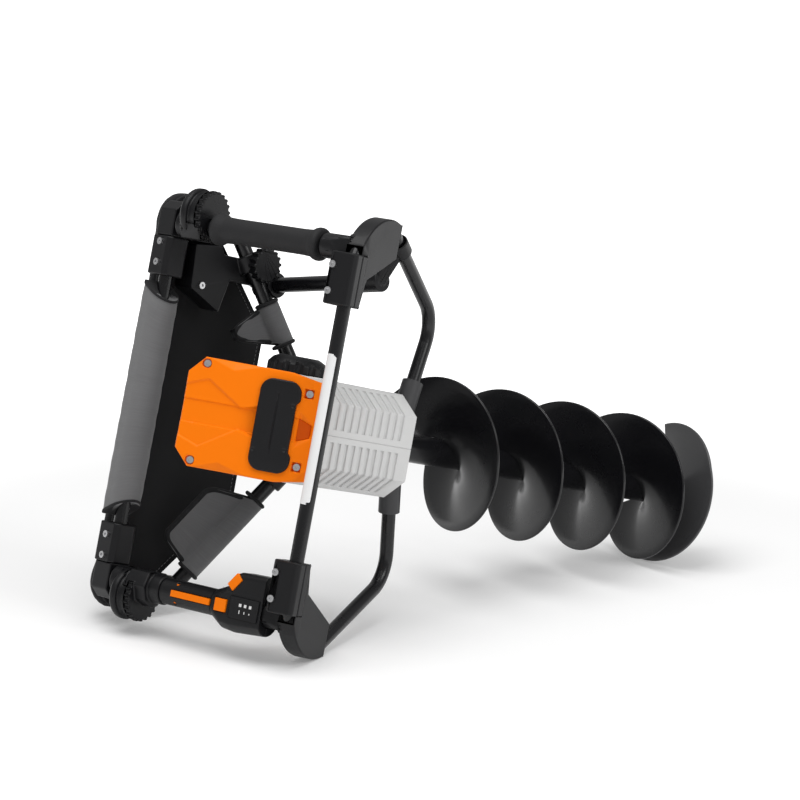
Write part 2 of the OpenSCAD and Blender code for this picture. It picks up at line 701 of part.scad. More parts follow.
// Hip pad: a shield outline with round corners, drawn in a little along its straight edges.
shield_low = [pad_low_half, pad_low + pad_low_r];
shield_high = [pad_half - pad_end_r, pad_top - pad_end_r];
shield_tilt = atan2((shield_high - shield_low).y, (shield_high - shield_low).x)
    - acos((pad_low_r - pad_end_r) / norm(shield_high - shield_low));
edge_n = 6;
arc_n = 6;
function arc(c, r, a, b) = [for (k = [0 : arc_n]) let (t = a + (b - a) * k / arc_n) c + r * [cos(t), sin(t)]];
function edge(p, q, in) = [for (k = [1 : edge_n - 1])
    p + (q - p) * k / edge_n + in * sin(180 * k / edge_n) * unit([(p - q).y, (q - p).x])];
function flip(v) = [for (k = [len(v) - 1 : -1 : 0]) [-v[k].x, v[k].y]];
function shield(inset, in) = let (
        low = arc(shield_low, pad_low_r - inset, -90, shield_tilt),
        high = arc(shield_high, pad_end_r - inset, shield_tilt, 90),
        right = concat(low, edge(low[arc_n], high[0], in), high),
        left = flip(right),
        last = len(right) - 1)
    concat(right, edge(right[last], left[0], in), left, edge(left[last], right[0], in));
shield_mid = [0, (pad_top + pad_low) / 2];
function pad_ring(y, inset, in, shrink = 1) = [for (p = shield(inset, in))
    let (q = shield_mid + shrink * (p - shield_mid)) [q.x, pad_y + gap + y, q.y]];
board_inset = 10;
pad_draw = 3;
pad_roll = 5;
module pad_board() color("#18181a") laid() translate([0, pad_y, 0]) rotate([90, 0, 0])
    linear_extrude(board_t) polygon(shield(board_inset, 0));
module hip_cushion() color("#232325") laid() skin([
    pad_ring(0, pad_roll, pad_draw / 2), pad_ring(pad_roll / 2, pad_roll / 4, pad_draw),
        pad_ring(pad_t / 4, 0, pad_draw),
    pad_ring(pad_t / 2, 0, pad_draw), pad_ring(pad_t * 0.75, pad_roll, pad_draw),
    pad_ring(pad_t * 0.88, 3 * pad_roll, pad_draw), pad_ring(pad_t * 0.95, 3 * pad_roll, pad_draw, 0.8),
    pad_ring(pad_t, 3 * pad_roll, pad_draw, 0.45)]);

// Stay on the left: a block at the pad with a clamp on the strut, a bar forwards and a bracket on the frame.
stay_depth = 36;
stay_in = 67;
stay_down = 63;
stay_mid = [handle_x - stay_in, rear.z - stay_down];
stay_outline = [[45, 37], [-12, 33], [-36, -19], [8, -29], [50, -7]];
stay_wall = 7;
stay_web = [4, 6, 28, 8, 10];
bar_start = 4;
knob_sink = 3;
stay_foot = [56, 18, 154];
stay_a = [handle_x, rear.y, rear.z] - stay_foot;
stay_grip_y = -125;
stay_grip = bend_end + (stay_grip_y - bend_end.y) * [tan(side_slant), 1];
stay_reach = [-46, 28, 0];
stay_b = loop_pt(stay_grip) + stay_reach;
stay_dir = unit(stay_b - stay_a);
stay_socket = 22;
stay_tail = 12;
stay_end = 34;
boot_l = 46;
boot_ribs = 5;
boot_d = strut_d + 7;
boot_rib_d = strut_d + 12;
clip_l = 24;
clip_wall = 4;
knob_t = 14;
knob_teeth = 16;
knob_stem_d = 12;
knob_stem_l = 8;
stay_knob_at = strut_pt(1, (stay_clamp[0] + stay_clamp[1]) / 2) - [0, strut_d / 2 + stay_wall - 1, 0];
stay_screw_at = [-6, 18];
module stay_screw_place() translate([stay_mid.x + stay_screw_at.x, board_y - stay_depth,
    stay_mid.y + stay_screw_at.y])
    rotate([90, 0, 0]) children();
module stay_block() color("#242426") laid() difference() {
    union() {
        translate([stay_mid.x, board_y, stay_mid.y]) rotate([90, 0, 0]) linear_extrude(stay_depth)
            polygon(stay_outline);
        run(strut_pt(1, stay_clamp[0]), strut_pt(1, stay_clamp[1]), strut_d + 2 * stay_wall);
        run(stay_a - stay_tail * stay_dir, stay_a + stay_socket * stay_dir, strut_d + 2 * stay_wall);
        slab([stay_a.x - stay_web[0], board_y - stay_depth, stay_a.z + stay_web[1]],
            [stay_a.x + stay_web[2], board_y - stay_web[3], stay_mid.y - stay_web[4]]);
    }
    run(strut_in(1), strut_out(1), strut_d + 2 * fit);
    run(stay_a + bar_start * stay_dir, stay_b, strut_d + 2 * fit);
    translate(stay_knob_at + [0, knob_sink, 0]) rotate([90, 0, 0])
        cylinder(d = knob_stem_d + 2 * fit, h = 2 * stay_wall);
    stay_screw_place() screw_hole(stay_depth / 2 + 1);
}
module stay_knob() color("#1a1a1c") laid() translate(stay_knob_at) rotate([90, 0, 0]) {
    translate([0, 0, gap - knob_sink]) cylinder(d = knob_stem_d, h = knob_stem_l + knob_sink);
    translate([0, 0, knob_stem_l - eps]) difference() {
        cylinder(d = knob_d, h = knob_t);
        for (k = [1 : knob_teeth]) rotate([0, 0, 360 * k / knob_teeth]) translate([knob_d / 2, 0, -1])
            cylinder(d = tooth_d, h = knob_t + 2);
    }
}
module stay_bar() color("#1c1c1e") laid() pipe(stay_a + (bar_start + gap) * stay_dir, stay_b, strut_d,
    strut_wall);
function boot_at(k) = stay_b - (stay_end + boot_l * k / boot_ribs) * stay_dir;
module stay_boot() color("#161618") laid() difference() {
    union() {
        run(boot_at(0), boot_at(boot_ribs), boot_d);
        for (k = [0 : boot_ribs - 1]) run(boot_at(k + 0.2), boot_at(k + 0.8), boot_rib_d);
    }
    run(stay_a, stay_b, strut_d + 2 * fit);
}
module stay_bracket() color("#202022") laid() difference() {
    union() {
        on_loop() translate([stay_grip.x, stay_grip.y, 0]) rotate([0, 0, -side_slant]) rotate([90, 0, 0])
            cylinder(d = tube_d + 2 * clip_wall, h = clip_l, center = true);
        run(loop_pt(stay_grip), stay_b, tube_d);
        run(stay_b - (stay_end - gap) * stay_dir, stay_b + stay_wall * stay_dir, strut_d + 2 * clip_wall);
    }
    on_loop() translate([stay_grip.x, stay_grip.y, 0]) rotate([0, 0, -side_slant]) rotate([90, 0, 0])
        cylinder(d = tube_d + 2 * fit, h = 2 * clip_l, center = true);
    run(stay_a, stay_b + gap * stay_dir, strut_d + 2 * fit);
}

// Motor shell: a side profile, a front outline and a plan, cut against each other.
ledge_h = 60;
shoulder_h = 170;
crown_half = 48;
flank_y = 60;
cover_run = (shell_top - shell_front_h) / tan(cover_slope);
shell_back = cover_run - shell_front;
cover_l = cover_run / cos(cover_slope);
cover_chamfer = 20;
facet = [shell_w - shell_face_w, 2 * (shell_front - flank_y)] / 2;
facet_dir = unit(facet);
facet_in = [-facet_dir.y, facet_dir.x];
function flank(z) = (shell_base_w + (shell_w - shell_base_w) * min(z / shoulder_h, 1)) / 2;
module shell_form(t) {
    lift = t / cos(cover_slope);
    intersection() {
        rotate([90, 0, 90]) linear_extrude(2 * shell_w, center = true) polygon([
            [t - shell_front, t], [t - shell_front, shell_front_h + t * tan(cover_slope) - lift],
            [shell_back - t, shell_top - t * tan(cover_slope) - lift], [shell_back - t, ledge_h - t],
            [shell_rear - t, ledge_h - t], [shell_rear - t, t]]);
        translate([0, 2 * shell_rear, 0]) rotate([90, 0, 0]) linear_extrude(4 * shell_rear) polygon([
            [-t, 0], [flank(0) - t, 0], [flank(shoulder_h) - t, shoulder_h],
            [flank(shoulder_h) - t, shell_top], [-t, shell_top]]);
        on_cover() linear_extrude(4 * shell_rear, center = true) polygon([
            [-t, -2 * shell_rear], [shell_w / 2, -2 * shell_rear], [shell_w / 2, cover_l - cover_chamfer - t],
            [crown_half, cover_l - t], [-t, cover_l - t]]);
        linear_extrude(shell_top) polygon([
            [-t, -shell_front], [shell_face_w / 2 - t / facet_dir.y, -shell_front],
            [shell_w / 2 - t / facet_dir.y, -flank_y],
            [shell_w / 2, shell_rear], [-t, shell_rear]]);
    }
}
groove_z0 = 21;
groove_step = 12.3;
groove_h = 6;
groove_y = [-48, 34];
band_half = 8;
facet_mitre = ([0, 1] + facet_in) / (1 + facet_in.y);
facet_reach = 0.8;
// Line of a groove at a depth: across the front and round onto the slanted facet.
function groove_line(d) = let (c = [shell_face_w / 2, -shell_front])
    [[band_half, d - shell_front], c + d * facet_mitre, c + facet_reach * facet + d * facet_in];
cap_y = -5;
cap_z = 135;
cap_stub_d = 16;
neck_r = 30;
module shell_half(s) color("#d7d7d5") difference() {
    mirror(mirror_x(s)) difference() {
        shell_form(0);
        shell_form(shell_wall);
        for (k = [0 : groove_n - 1]) translate([0, 0, groove_z0 + groove_step * k]) {
            linear_extrude(groove_h) polygon(concat(groove_line(groove_depth),
                [for (k = [2 : -1 : 0]) groove_line(-1)[k]]));
            slab([flank(groove_z0 + groove_step * k) - groove_depth, groove_y[0], 0],
                [shell_w, groove_y[1], groove_h]);
        }
    }
    translate([0, 0, -1]) cylinder(r = neck_r + gap, h = shell_wall + 2);
    translate([0, cap_y, cap_z]) rotate([0, 90, 0]) cylinder(d = cap_stub_d + 2 * fit, h = shell_w);
    on_cover() cover_screw_places() screw_hole(cover_foot + shell_wall + 1);
}
module shell_left() laid() shell_half(1);
module shell_right() laid() shell_half(-1);

// Intake cap on the left flank: a fluted dome on a short stub.
cap_h = 22;
flute_n = 14;
flute_d = 10;
module intake_cap() color("#1a1a1c") laid() translate([shell_w / 2, cap_y, cap_z]) rotate([0, 90, 0]) {
    translate([0, 0, -shell_wall - 2]) cylinder(d = cap_stub_d, h = shell_wall + 3);
    translate([0, 0, gap]) difference() {
        rotate_extrude() polygon([[0, 0], [cap_d / 2, 0], [cap_d / 2, cap_h / 2], [cap_d / 2 - 6, cap_h - 4],
            [cap_d / 2 - 14, cap_h], [0, cap_h]]);
        for (k = [1 : flute_n]) rotate([0, 0, 360 * k / flute_n]) translate([cap_d / 2 + 2, 0, -1])
            cylinder(d = flute_d, h = cap_h + 2);
    }
}

// Orange cover on the shell's slope: x to the left, y up the slope, z out of it.
cover_foot = 5;
cover_inset = 6;
cover_wall = 4;
cover_tab = 28;
plate_t = 4;
plate_y = [29, 81];
plate_r = 16;
tab_half = 15;
tab_t = 2;
tab_low = 12;
tab_taper = 5;
pocket_d = head_d + 3;
cover_half = shell_w / 2 + 1;
cover_shape = [[cover_half - 7, 4], [cover_half, 45], [cover_half, cover_l - cover_chamfer],
    [crown_half, cover_l - 1]];
function both(v) = concat(v, flip(v));
function inner(v, d) = [for (k = [0 : len(v) - 1])
    [v[k].x - d, v[k].y + (k == 0 ? d / 2 : k == len(v) - 1 ? -d / 2 : 0)]];
module on_cover(z = 0) translate([0, -shell_front, shell_front_h]) rotate([cover_slope, 0, 0])
    translate([0, 0, z]) children();
cover_screw_at = [[46, 20], [61, cover_l - 22]];
module cover_screw_places() for (s = side, p = cover_screw_at) translate([s * p.x, p.y, cover_foot])
    children();
module cover_body(t) hull() {
    linear_extrude(eps) polygon(both(inner(cover_shape, cover_inset / 2 + t)));
    translate([0, 0, cover_h - t - eps]) linear_extrude(eps)
        polygon(both(inner(cover_shape, cover_inset + t)));
}
module front_cover() color("#f47b12") laid() on_cover() {
    difference() {
        union() {
            difference() {
                union() {
                    linear_extrude(cover_foot) polygon(both(cover_shape));
                    cover_body(0);
                }
                translate([0, 0, -eps]) cover_body(cover_wall);
            }
            intersection() {
                cover_body(0);
                cover_screw_places() translate([0, 0, -cover_foot])
                    cylinder(d = pocket_d + cover_wall, h = cover_h);
            }
        }
        cover_screw_places() {
            screw_hole(cover_foot + 1);
            cylinder(d = pocket_d, h = cover_h);
        }
    }
    translate([0, 0, cover_h - eps]) linear_extrude(tab_t) polygon([[-tab_half, cover_tab - 1],
        [tab_half, cover_tab - 1], [tab_half - tab_taper, tab_low], [tab_taper - tab_half, tab_low]]);
}
module cover_screws() color("silver") laid() on_cover() cover_screw_places()
    screw(cover_foot + shell_wall - gap);
module cover_plate() color("#1c1c1e") laid() on_cover(cover_h) linear_extrude(plate_t) {
    x = plate_l / 2 - plate_r;
    y = [plate_y[0] + plate_r, plate_y[1] - plate_r];
    for (sx = side, k = [0, 1]) translate([sx * x, y[k]]) circle(r = plate_r);
    translate([-x, plate_y[0]]) square([2 * x, plate_y[1] - plate_y[0]]);
    translate([-x - plate_r, y[0]]) square([2 * (x + plate_r), y[1] - y[0]]);
}

// Gears: involute flanks, with short tips and some backlash.
pressure = 20;
addendum = 0.8;
dedendum = 1.2;
backlash = 0.08;
function inv(a) = tan(a) * 180 / PI - a;
function flank_half(m, n, r) = let (rb = m * n / 2 * cos(pressure), a = r > rb ? acos(rb / r) : 0)
    90 / n - backlash * 180 / PI / n + inv(pressure) - inv(a);
function gear_outline(m, n) = let (p = m * n / 2, radii =
    [p - dedendum * m, p - 0.4 * m, p, p + addendum * m])
    [for (t = [0 : n - 1], k = [0 : 7]) let (
            r = radii[k < 4 ? k : 7 - k],
            a = 360 * t / n + (k < 4 ? -1 : 1) * flank_half(m, n, r))
        r * [cos(a), sin(a)]];
module gear(m, n, h) linear_extrude(h) polygon(gear_outline(m, n));
counter_y = -out_module * (out_teeth + pinion_teeth) / 2;
motor_y = counter_y + motor_module * (wheel_teeth + motor_teeth) / 2;
out_r = out_module * (out_teeth / 2 + addendum);
wheel_r = motor_module * (wheel_teeth / 2 + addendum);

// Gear case below the motor, its neck through the shell's base and its lugs on the frame tube's feet.
case_wall = 4;
case_floor = 5;
case_room = 1.5;
lid_t = 6;
case_top = ledge_h - shell_wall - lid_t - 1;
case_z = shell_wall;
neck_low = -48;
lug_wall = 5;
lug_l = 24;
lug_rib = 8;
out_z = [14, 28];
wheel_z = [34, 44];
mesh_over = 1;
counter_d = 10;
counter_sink = 3;
low_bearing = [42, 12];
high_bearing = [32, 9];
spindle_top_d = 15;
bearing_sink = 1;
lid_boss_wall = 2.5;
motor_d = 8;
function foot(s) = loop_pt([s * foot_end.x, foot_end.y]);
function foot_dir(s) = unit(loop_pt([s * knee_end.x, knee_end.y]) - foot(s));
lug_root = foot(1) - foot_end.x / cos(foot_rise) * foot_dir(1);
module case_plan(wall, h) {
    cylinder(r = out_r + case_room + wall, h = h);
    translate([0, counter_y, 0]) cylinder(r = wheel_r + case_room + wall, h = h);
}
module gear_case() color("#3a3b3d") laid() difference() {
    union() {
        translate([0, 0, case_z]) case_plan(case_wall, case_top - case_z);
        translate([0, 0, neck_low]) cylinder(r = neck_r, h = case_z - neck_low + eps);
        for (s = side) run(lug_root, foot(s) + lug_l * foot_dir(s), tube_d + 2 * lug_wall);
        slab([-lug_rib, lug_root.y, lug_root.z - lug_rib], [lug_rib, 0, lug_root.z + lug_rib]);
    }
    translate([0, 0, case_z + case_floor]) case_plan(0, case_top);
    translate([0, 0, neck_low - 1]) cylinder(d = spindle_d + 2, h = case_top - neck_low);
    translate([0, 0, neck_low - 1]) cylinder(d = low_bearing[0] + 2 * fit, h =
        low_bearing[1] + bearing_sink + 1);
    translate([0, counter_y, case_z + case_floor - counter_sink])
        cylinder(d = counter_d + 2 * fit, h = counter_sink + 1);
    for (s = side) run(foot(s), foot(s) + (lug_l + 1) * foot_dir(s), tube_d + 2 * fit);
}
high_bearing_z = case_top + lid_t - bearing_sink - high_bearing[1];
module gear_lid() color("#3a3b3d") laid() difference() {
    union() {
        translate([0, 0, case_top]) case_plan(case_wall, lid_t);
        translate([0, 0, high_bearing_z]) cylinder(d = high_bearing[0] + 2 * lid_boss_wall, h =
            high_bearing[1]);
    }
    translate([0, 0, high_bearing_z - 1]) cylinder(d = high_bearing[0] + 2 * fit, h = high_bearing[1] + 1);
    translate([0, counter_y, case_top - 1]) cylinder(d = counter_d + 2 * fit, h = counter_sink + 1);
    translate([0, motor_y, case_top - 1]) cylinder(d = motor_d + 2 * fit, h = lid_t + 2);
}
module spindle_bearings() color("silver") laid() {
    translate([0, 0, neck_low + bearing_sink]) difference() {
        cylinder(d = low_bearing[0], h = low_bearing[1] - bearing_sink);
        translate([0, 0, -1]) cylinder(d = spindle_d + 2 * fit, h = low_bearing[1] + 2);
    }
    translate([0, 0, high_bearing_z]) difference() {
        cylinder(d = high_bearing[0], h = high_bearing[1] - gap);
        translate([0, 0, -1]) cylinder(d = spindle_top_d + 2 * fit, h = high_bearing[1] + 2);
    }
}

// Drive: spindle with its gear, countershaft and motor.
pin_d = 10;
pin_drop = 28;
pin_out = 4;
socket_play = 2;
module pin_bore() translate([-bit_d / 2, 0, bit_top - pin_drop]) rotate([0, 90, 0])
    cylinder(d = pin_d + 2 * fit, h = bit_d);
module spindle() color("silver") laid() difference() {
    union() {
        translate([0, 0, bit_top - spindle_grip]) cylinder(d = spindle_d, h =
            spindle_grip - bit_top + wheel_z[0] - 2);
        translate([0, 0, wheel_z[0] - 3]) cylinder(d = spindle_top_d, h =
            high_bearing_z + high_bearing[1] - wheel_z[0] + 2);
    }
    pin_bore();
}
module output_gear() color("silver") laid() translate([0, 0, out_z[0]]) difference() {
    rotate([0, 0, -90]) gear(out_module, out_teeth, out_z[1] - out_z[0]);
    translate([0, 0, -1]) cylinder(d = spindle_d + 2 * fit, h = out_z[1]);
}
module countershaft() color("silver") laid() translate([0, counter_y, 0]) {
    translate([0, 0, case_z + case_floor - counter_sink + gap])
        cylinder(d = counter_d, h = case_top - case_z - case_floor + 2 * counter_sink - 2 * gap);
    translate([0, 0, out_z[0] - mesh_over]) rotate([0, 0, 90 + 180 / pinion_teeth])
        gear(out_module, pinion_teeth, out_z[1] - out_z[0] + 2 * mesh_over);
    translate([0, 0, wheel_z[0]]) rotate([0, 0, 90]) gear(motor_module, wheel_teeth, wheel_z[1] - wheel_z[0]);
}
can_wall = 3;
can_low = 14;
can_fan = 24;
can_cap = 4;
rotor_d = 47;
air_gap = 0.5;
fan_n = 9;
fan_h = 10;
fan_d = 64;
fan_t = 2;
blade_in = 0.5;
stator_z = case_top + lid_t + can_low;
can_top = stator_z + stator_h + can_fan;
module motor_rotor() color("#8d8f92") laid() translate([0, motor_y, 0]) {
    translate([0, 0, wheel_z[0] - mesh_over]) rotate([0, 0, 180 / motor_teeth - 90])
        gear(motor_module, motor_teeth, wheel_z[1] - wheel_z[0] + 2 * mesh_over);
    translate([0, 0, wheel_z[0]]) cylinder(d = motor_d, h = can_top + can_cap - wheel_z[0]);
    translate([0, 0, stator_z + 2]) cylinder(d = rotor_d, h = stator_h - 4);
    translate([0, 0, can_top - can_fan / 2 - fan_h / 2]) {
        cylinder(d = 2 * motor_d, h = fan_h);
        for (k = [1 : fan_n]) rotate([0, 0, 360 * k / fan_n])
            translate([motor_d * 3 / 4, -fan_t / 2, blade_in])
                cube([fan_d / 2 - motor_d * 3 / 4, fan_t, fan_h - 2 * blade_in]);
    }
}
module motor_stator() color("#6a5a48") laid() translate([0, motor_y, 0]) difference() {
    translate([0, 0, case_top + lid_t]) cylinder(d = stator_d, h = can_top + can_cap - case_top - lid_t);
    translate([0, 0, case_top]) cylinder(d = rotor_d + 2 * air_gap, h = can_top - case_top);
    translate([0, 0, case_top]) cylinder(d = stator_d - 2 * can_wall, h = stator_z - case_top);
    translate([0, 0, stator_z + stator_h]) cylinder(d = stator_d - 2 * can_wall, h = can_fan);
    translate([0, 0, can_top - 1]) cylinder(d = motor_d + 2 * fit, h = can_cap + 2);
}
post_h = 10;
post_d = 8;
post_at = [24, 18];
circuit_size = [90, 68, 7];
module motor_board() color("#1f5a3a") laid() translate([0, motor_y, can_top + can_cap]) {
    for (sx = side, sy = side) translate([sx * post_at.x, sy * post_at.y, 0])
        cylinder(d = post_d, h = post_h + eps);
    translate([-circuit_size.x / 2, -circuit_size.y / 2, post_h]) cube(circuit_size);
}

// Battery in its dock behind the shell.
dock_wall = 4;
dock_room = 0.5;
dock_h = 90;
dock_x = battery_w / 2 + dock_room + dock_wall;
dock_y = shell_back + 2 * dock_wall + 2 * dock_room + battery_dp;
battery_y = shell_back + dock_wall + dock_room;
latch_w = 18;
latch_z = 64;
latch_out = 6;
latch_t = 6;
latch_l = [16, 34];
ear_t = 3;
ear_half = 7;
nose_h = 5;
module battery_dock() color("#202022") laid() difference() {
    union() {
        slab([-dock_x, shell_back, ledge_h], [dock_x, dock_y, ledge_h + dock_h]);
        for (s = side) mirror(mirror_x(s)) slab([latch_w / 2 + gap, dock_y - 1, ledge_h + latch_z - ear_half],
            [latch_w / 2 + gap + ear_t, dock_y + latch_out + ear_half, ledge_h + latch_z + ear_half]);
    }
    slab([dock_wall - dock_x, shell_back + dock_wall, ledge_h + dock_wall],
        [dock_x - dock_wall, dock_y - dock_wall, ledge_h + dock_h + 1]);
    latch_axis(latch_w + 4 * ear_t, fit);
}
module latch_axis(l, c) translate([-l / 2, dock_y + latch_out, ledge_h + latch_z]) rotate([0, 90, 0])
    cylinder(d = pivot_d + 2 * c, h = l);
module battery_latch() color("#f47b12") laid() {
    slab([-latch_w / 2, dock_y + latch_out - latch_t / 2, ledge_h + latch_z - latch_l[0]],
        [latch_w / 2, dock_y + latch_out + latch_t / 2, ledge_h + latch_z + latch_l[1]]);
    slab([-latch_w / 2, dock_y - dock_wall + dock_room, ledge_h + dock_h + gap * 2],
        [latch_w / 2, dock_y + latch_out, ledge_h + dock_h + gap * 2 + nose_h]);
    latch_axis(latch_w + 2 * ear_t, 0);
}
battery_edge = 8;
finger_d = 16;
module battery() color("#2a2a2c") laid() difference() {
    translate([0, 0, ledge_h + dock_wall + gap]) linear_extrude(battery_h) polygon(both([
        [battery_w / 2 - battery_edge, battery_y], [battery_w / 2, battery_y + battery_edge],
        [battery_w / 2, battery_y + battery_dp - battery_edge],
            [battery_w / 2 - battery_edge, battery_y + battery_dp]]));
    for (s = side) translate([s * battery_w / 2, battery_y, ledge_h + battery_h - finger_d])
        rotate([-90, 0, 0])
        cylinder(d = finger_d, h = battery_dp);
}

// Drill bit.
bit_wall = 4;
flight_steps = 40;
shank_l = 30;
shank_d = 22;
flight_in = bit_tube_d / 2 + gap / 3;
function flight_ring(k, z) = let (a = flight_phase - 360 * k)
    [for (p = [[flight_in, -1], [bit_r, -1], [bit_r, 1], [flight_in, 1]])
        [p[0] * cos(a), p[0] * sin(a), z + p[1] * flight_t / 2]];
function turns(a, b) = let (n = ceil((b - a) * flight_steps)) [for (j = [0 : n]) b + (a - b) * j / n];
module bit_tube() color("#1c1c1e") laid() difference() {
    translate([0, 0, bit_low]) cylinder(d = bit_tube_d, h = bit_top - bit_low);
    translate([0, 0, bit_top - spindle_grip - socket_play])
        cylinder(d = spindle_d + 2 * fit, h = spindle_grip + socket_play + 1);
    translate([0, 0, bit_low - 1]) cylinder(d = shank_d + 2 * fit, h = shank_l + 1 + gap);
    translate([0, 0, bit_low + 2 * shank_l]) cylinder(d = bit_tube_d - 2 * bit_wall,
        h = bit_top - bit_low - spindle_grip - socket_play - 3 * shank_l);
    pin_bore();
}
module bit_flight() color("#161618") laid() skin([for (k = turns(0, bit_turns)) flight_ring(k, flight_z(k))]);
module bit_cutter() color("#4a4b4d") laid()
    skin([for (k = turns(cutter_from, bit_turns)) flight_ring(k, cutter_z(k))]);
module bit_point() color("#3a3b3d") laid() rotate_extrude() polygon([
    [0, point_z], [shank_d / 2, point_z + shank_l], [bit_tube_d / 2, bit_low - gap],
        [shank_d / 2, bit_low - gap],
    [shank_d / 2, bit_low + shank_l], [0, bit_low + shank_l]]);
module bit_pin() color("silver") laid() translate([-bit_tube_d / 2 - pin_out, 0, bit_top - pin_drop])
    rotate([0, 90, 0])
    cylinder(d = pin_d, h = bit_tube_d + 2 * pin_out);

frame_tube();
bracket_cap_left();
bracket_cap_right();
bracket_wing_left();
bracket_wing_right();
bracket_screws();
handle_tube_left();
foam_grip();
control_shell_upper();
control_shell_lower();
handle_core_right();
trigger();
palm_lever();
mode_button();
lock_slider();
indicator_panel();
switch_block();
rear_hub_left();
rear_hub_right();
rear_tube();
rear_clamp_left();
rear_clamp_right();
rear_screws();
rear_sleeve();
pad_board();
hip_cushion();
strut_left();
strut_right();
strut_yoke();
strut_wrap_left();
strut_wrap_right();
stay_block();
stay_knob();
stay_bar();
stay_boot();
stay_bracket();
shell_left();
shell_right();
front_cover();
cover_screws();
cover_plate();
intake_cap();
gear_case();
gear_lid();
spindle();
output_gear();
spindle_bearings();
countershaft();
motor_rotor();
motor_stator();
motor_board();
battery_dock();
battery();
battery_latch();
bit_tube();
bit_flight();
bit_cutter();
bit_point();
bit_pin();
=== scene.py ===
"""Dresses the packed earth auger: finishes for its solids, and its cloth, cover, bit and trim as new pieces.

Sizes are millimetres in the machine's own axes: x to the user's left, y to the user, z up the drill.
"""

import json
import logging
import math
from contextlib import contextmanager
from dataclasses import dataclass
from enum import Enum
from typing import Any, Iterator, Sequence

import bmesh
import bpy
import numpy as np
from mathutils import Matrix, Vector


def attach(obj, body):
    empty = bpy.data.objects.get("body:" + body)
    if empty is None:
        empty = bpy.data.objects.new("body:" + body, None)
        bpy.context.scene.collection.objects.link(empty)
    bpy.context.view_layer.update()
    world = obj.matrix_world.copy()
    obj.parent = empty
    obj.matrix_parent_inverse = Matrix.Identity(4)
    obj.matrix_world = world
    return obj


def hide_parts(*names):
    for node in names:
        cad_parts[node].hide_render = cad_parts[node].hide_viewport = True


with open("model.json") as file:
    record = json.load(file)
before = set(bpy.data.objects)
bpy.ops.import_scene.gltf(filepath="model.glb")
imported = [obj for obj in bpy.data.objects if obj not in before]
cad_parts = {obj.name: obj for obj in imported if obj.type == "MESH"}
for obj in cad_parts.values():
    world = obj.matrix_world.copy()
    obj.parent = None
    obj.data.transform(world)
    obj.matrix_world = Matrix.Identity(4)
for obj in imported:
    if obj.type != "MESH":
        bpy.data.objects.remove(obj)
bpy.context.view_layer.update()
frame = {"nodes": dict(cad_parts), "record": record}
LOG = logging.getLogger("auger")
MM = 0.001
BODY_OF = {node: body for body, nodes in frame["record"]["behaviour"]["bodies"].items() for node in nodes}
SLOT_OF = {row["node"]: row["material_slot"] for row in frame["record"]["subparts"]}
SIDES = {"left": 1, "right": -1}
# Distances in metres within which points are joined: in a new piece, and in a solid's loose triangles
JOIN_NEW = 1e-6
JOIN_SOLID = 5e-6
# Turns in degrees: what still counts as flat, and what is sharp enough to be rounded
FLAT_TURN = 0.6
ROUND_TURN = 30.0
ROUND_STEPS = 2
TINY = 1e-9
Triple = tuple[float, float, float]
# Places, and the value at each, with straight lines between
Bends = tuple[tuple[float, ...], tuple[float, ...]]


@dataclass(frozen=True)
class MachineAxes:
    """The machine's own axes as they lie in the row frame."""

    origin: np.ndarray
    basis: np.ndarray

    @classmethod
    def from_record(cls, record: dict) -> "MachineAxes":
        """Takes the drill axis from the spindle's joint and the sideways axis from the intake cap's.

        Args:
            record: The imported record.

        Returns:
            The axes, with the origin at the motor shell's base.
        """
        joints = {joint["name"]: joint for joint in record["behaviour"]["joints"]}
        z = -np.array(joints["spindle_spin"]["axis"])
        x = np.array(joints["cap_twist"]["axis"])
        return cls(np.array(joints["spindle_spin"]["pos_m"]), np.stack([x, np.cross(z, x), z]))

    def lay(self, points: Any) -> np.ndarray:
        """Turns machine points in millimetres into row points in metres."""
        return self.origin + np.asarray(points, float) * MM @ self.basis

    def turn(self, directions: Any) -> np.ndarray:
        """Turns machine directions into row directions."""
        return np.asarray(directions, float) @ self.basis


AXES = MachineAxes.from_record(frame["record"])


@dataclass(frozen=True)
class Place:
    """A workplace on the machine: an origin and three directions in machine axes."""

    origin: np.ndarray
    axes: np.ndarray

    @classmethod
    def tilted(cls, origin: Sequence[float], angle: float) -> "Place":
        """A place turned about the machine's x.

        Args:
            origin: Where it sits, in millimetres.
            angle: The turn, in degrees.

        Returns:
            The place.
        """
        c, s = math.cos(math.radians(angle)), math.sin(math.radians(angle))
        return cls(np.array(origin, float), np.array([[1, 0, 0], [0, c, s], [0, -s, c]]))

    @classmethod
    def along(cls, origin: Any, direction: Any, up: Any) -> "Place":
        """A place whose z follows a direction and whose x is the part of up square to it.

        Args:
            origin: Where it sits, in millimetres.
            direction: The way of its z.
            up: A direction on the side of its x.

        Returns:
            The place.
        """
        z = np.asarray(direction, float) / np.linalg.norm(direction)
        x = np.asarray(up, float) - np.dot(up, z) * z
        x = x / np.linalg.norm(x)
        return cls(np.asarray(origin, float), np.stack([x, np.cross(z, x), z]))

    def machine(self, points: Any) -> np.ndarray:
        """Turns points of this place into machine points."""
        return self.origin + np.asarray(points, float) @ self.axes

    def lay(self, points: Any) -> np.ndarray:
        """Turns points of this place into row points in metres."""
        return AXES.lay(self.machine(points))


def full_turn(count: int) -> np.ndarray:
    """Angles at even steps round a full turn, in radians."""
    return np.linspace(0, 2 * np.pi, count, endpoint=False)


def circle(angle: np.ndarray) -> np.ndarray:
    """Points of the unit circle: the cosine and the sine of each angle."""
    return np.stack([np.cos(angle), np.sin(angle)], -1)


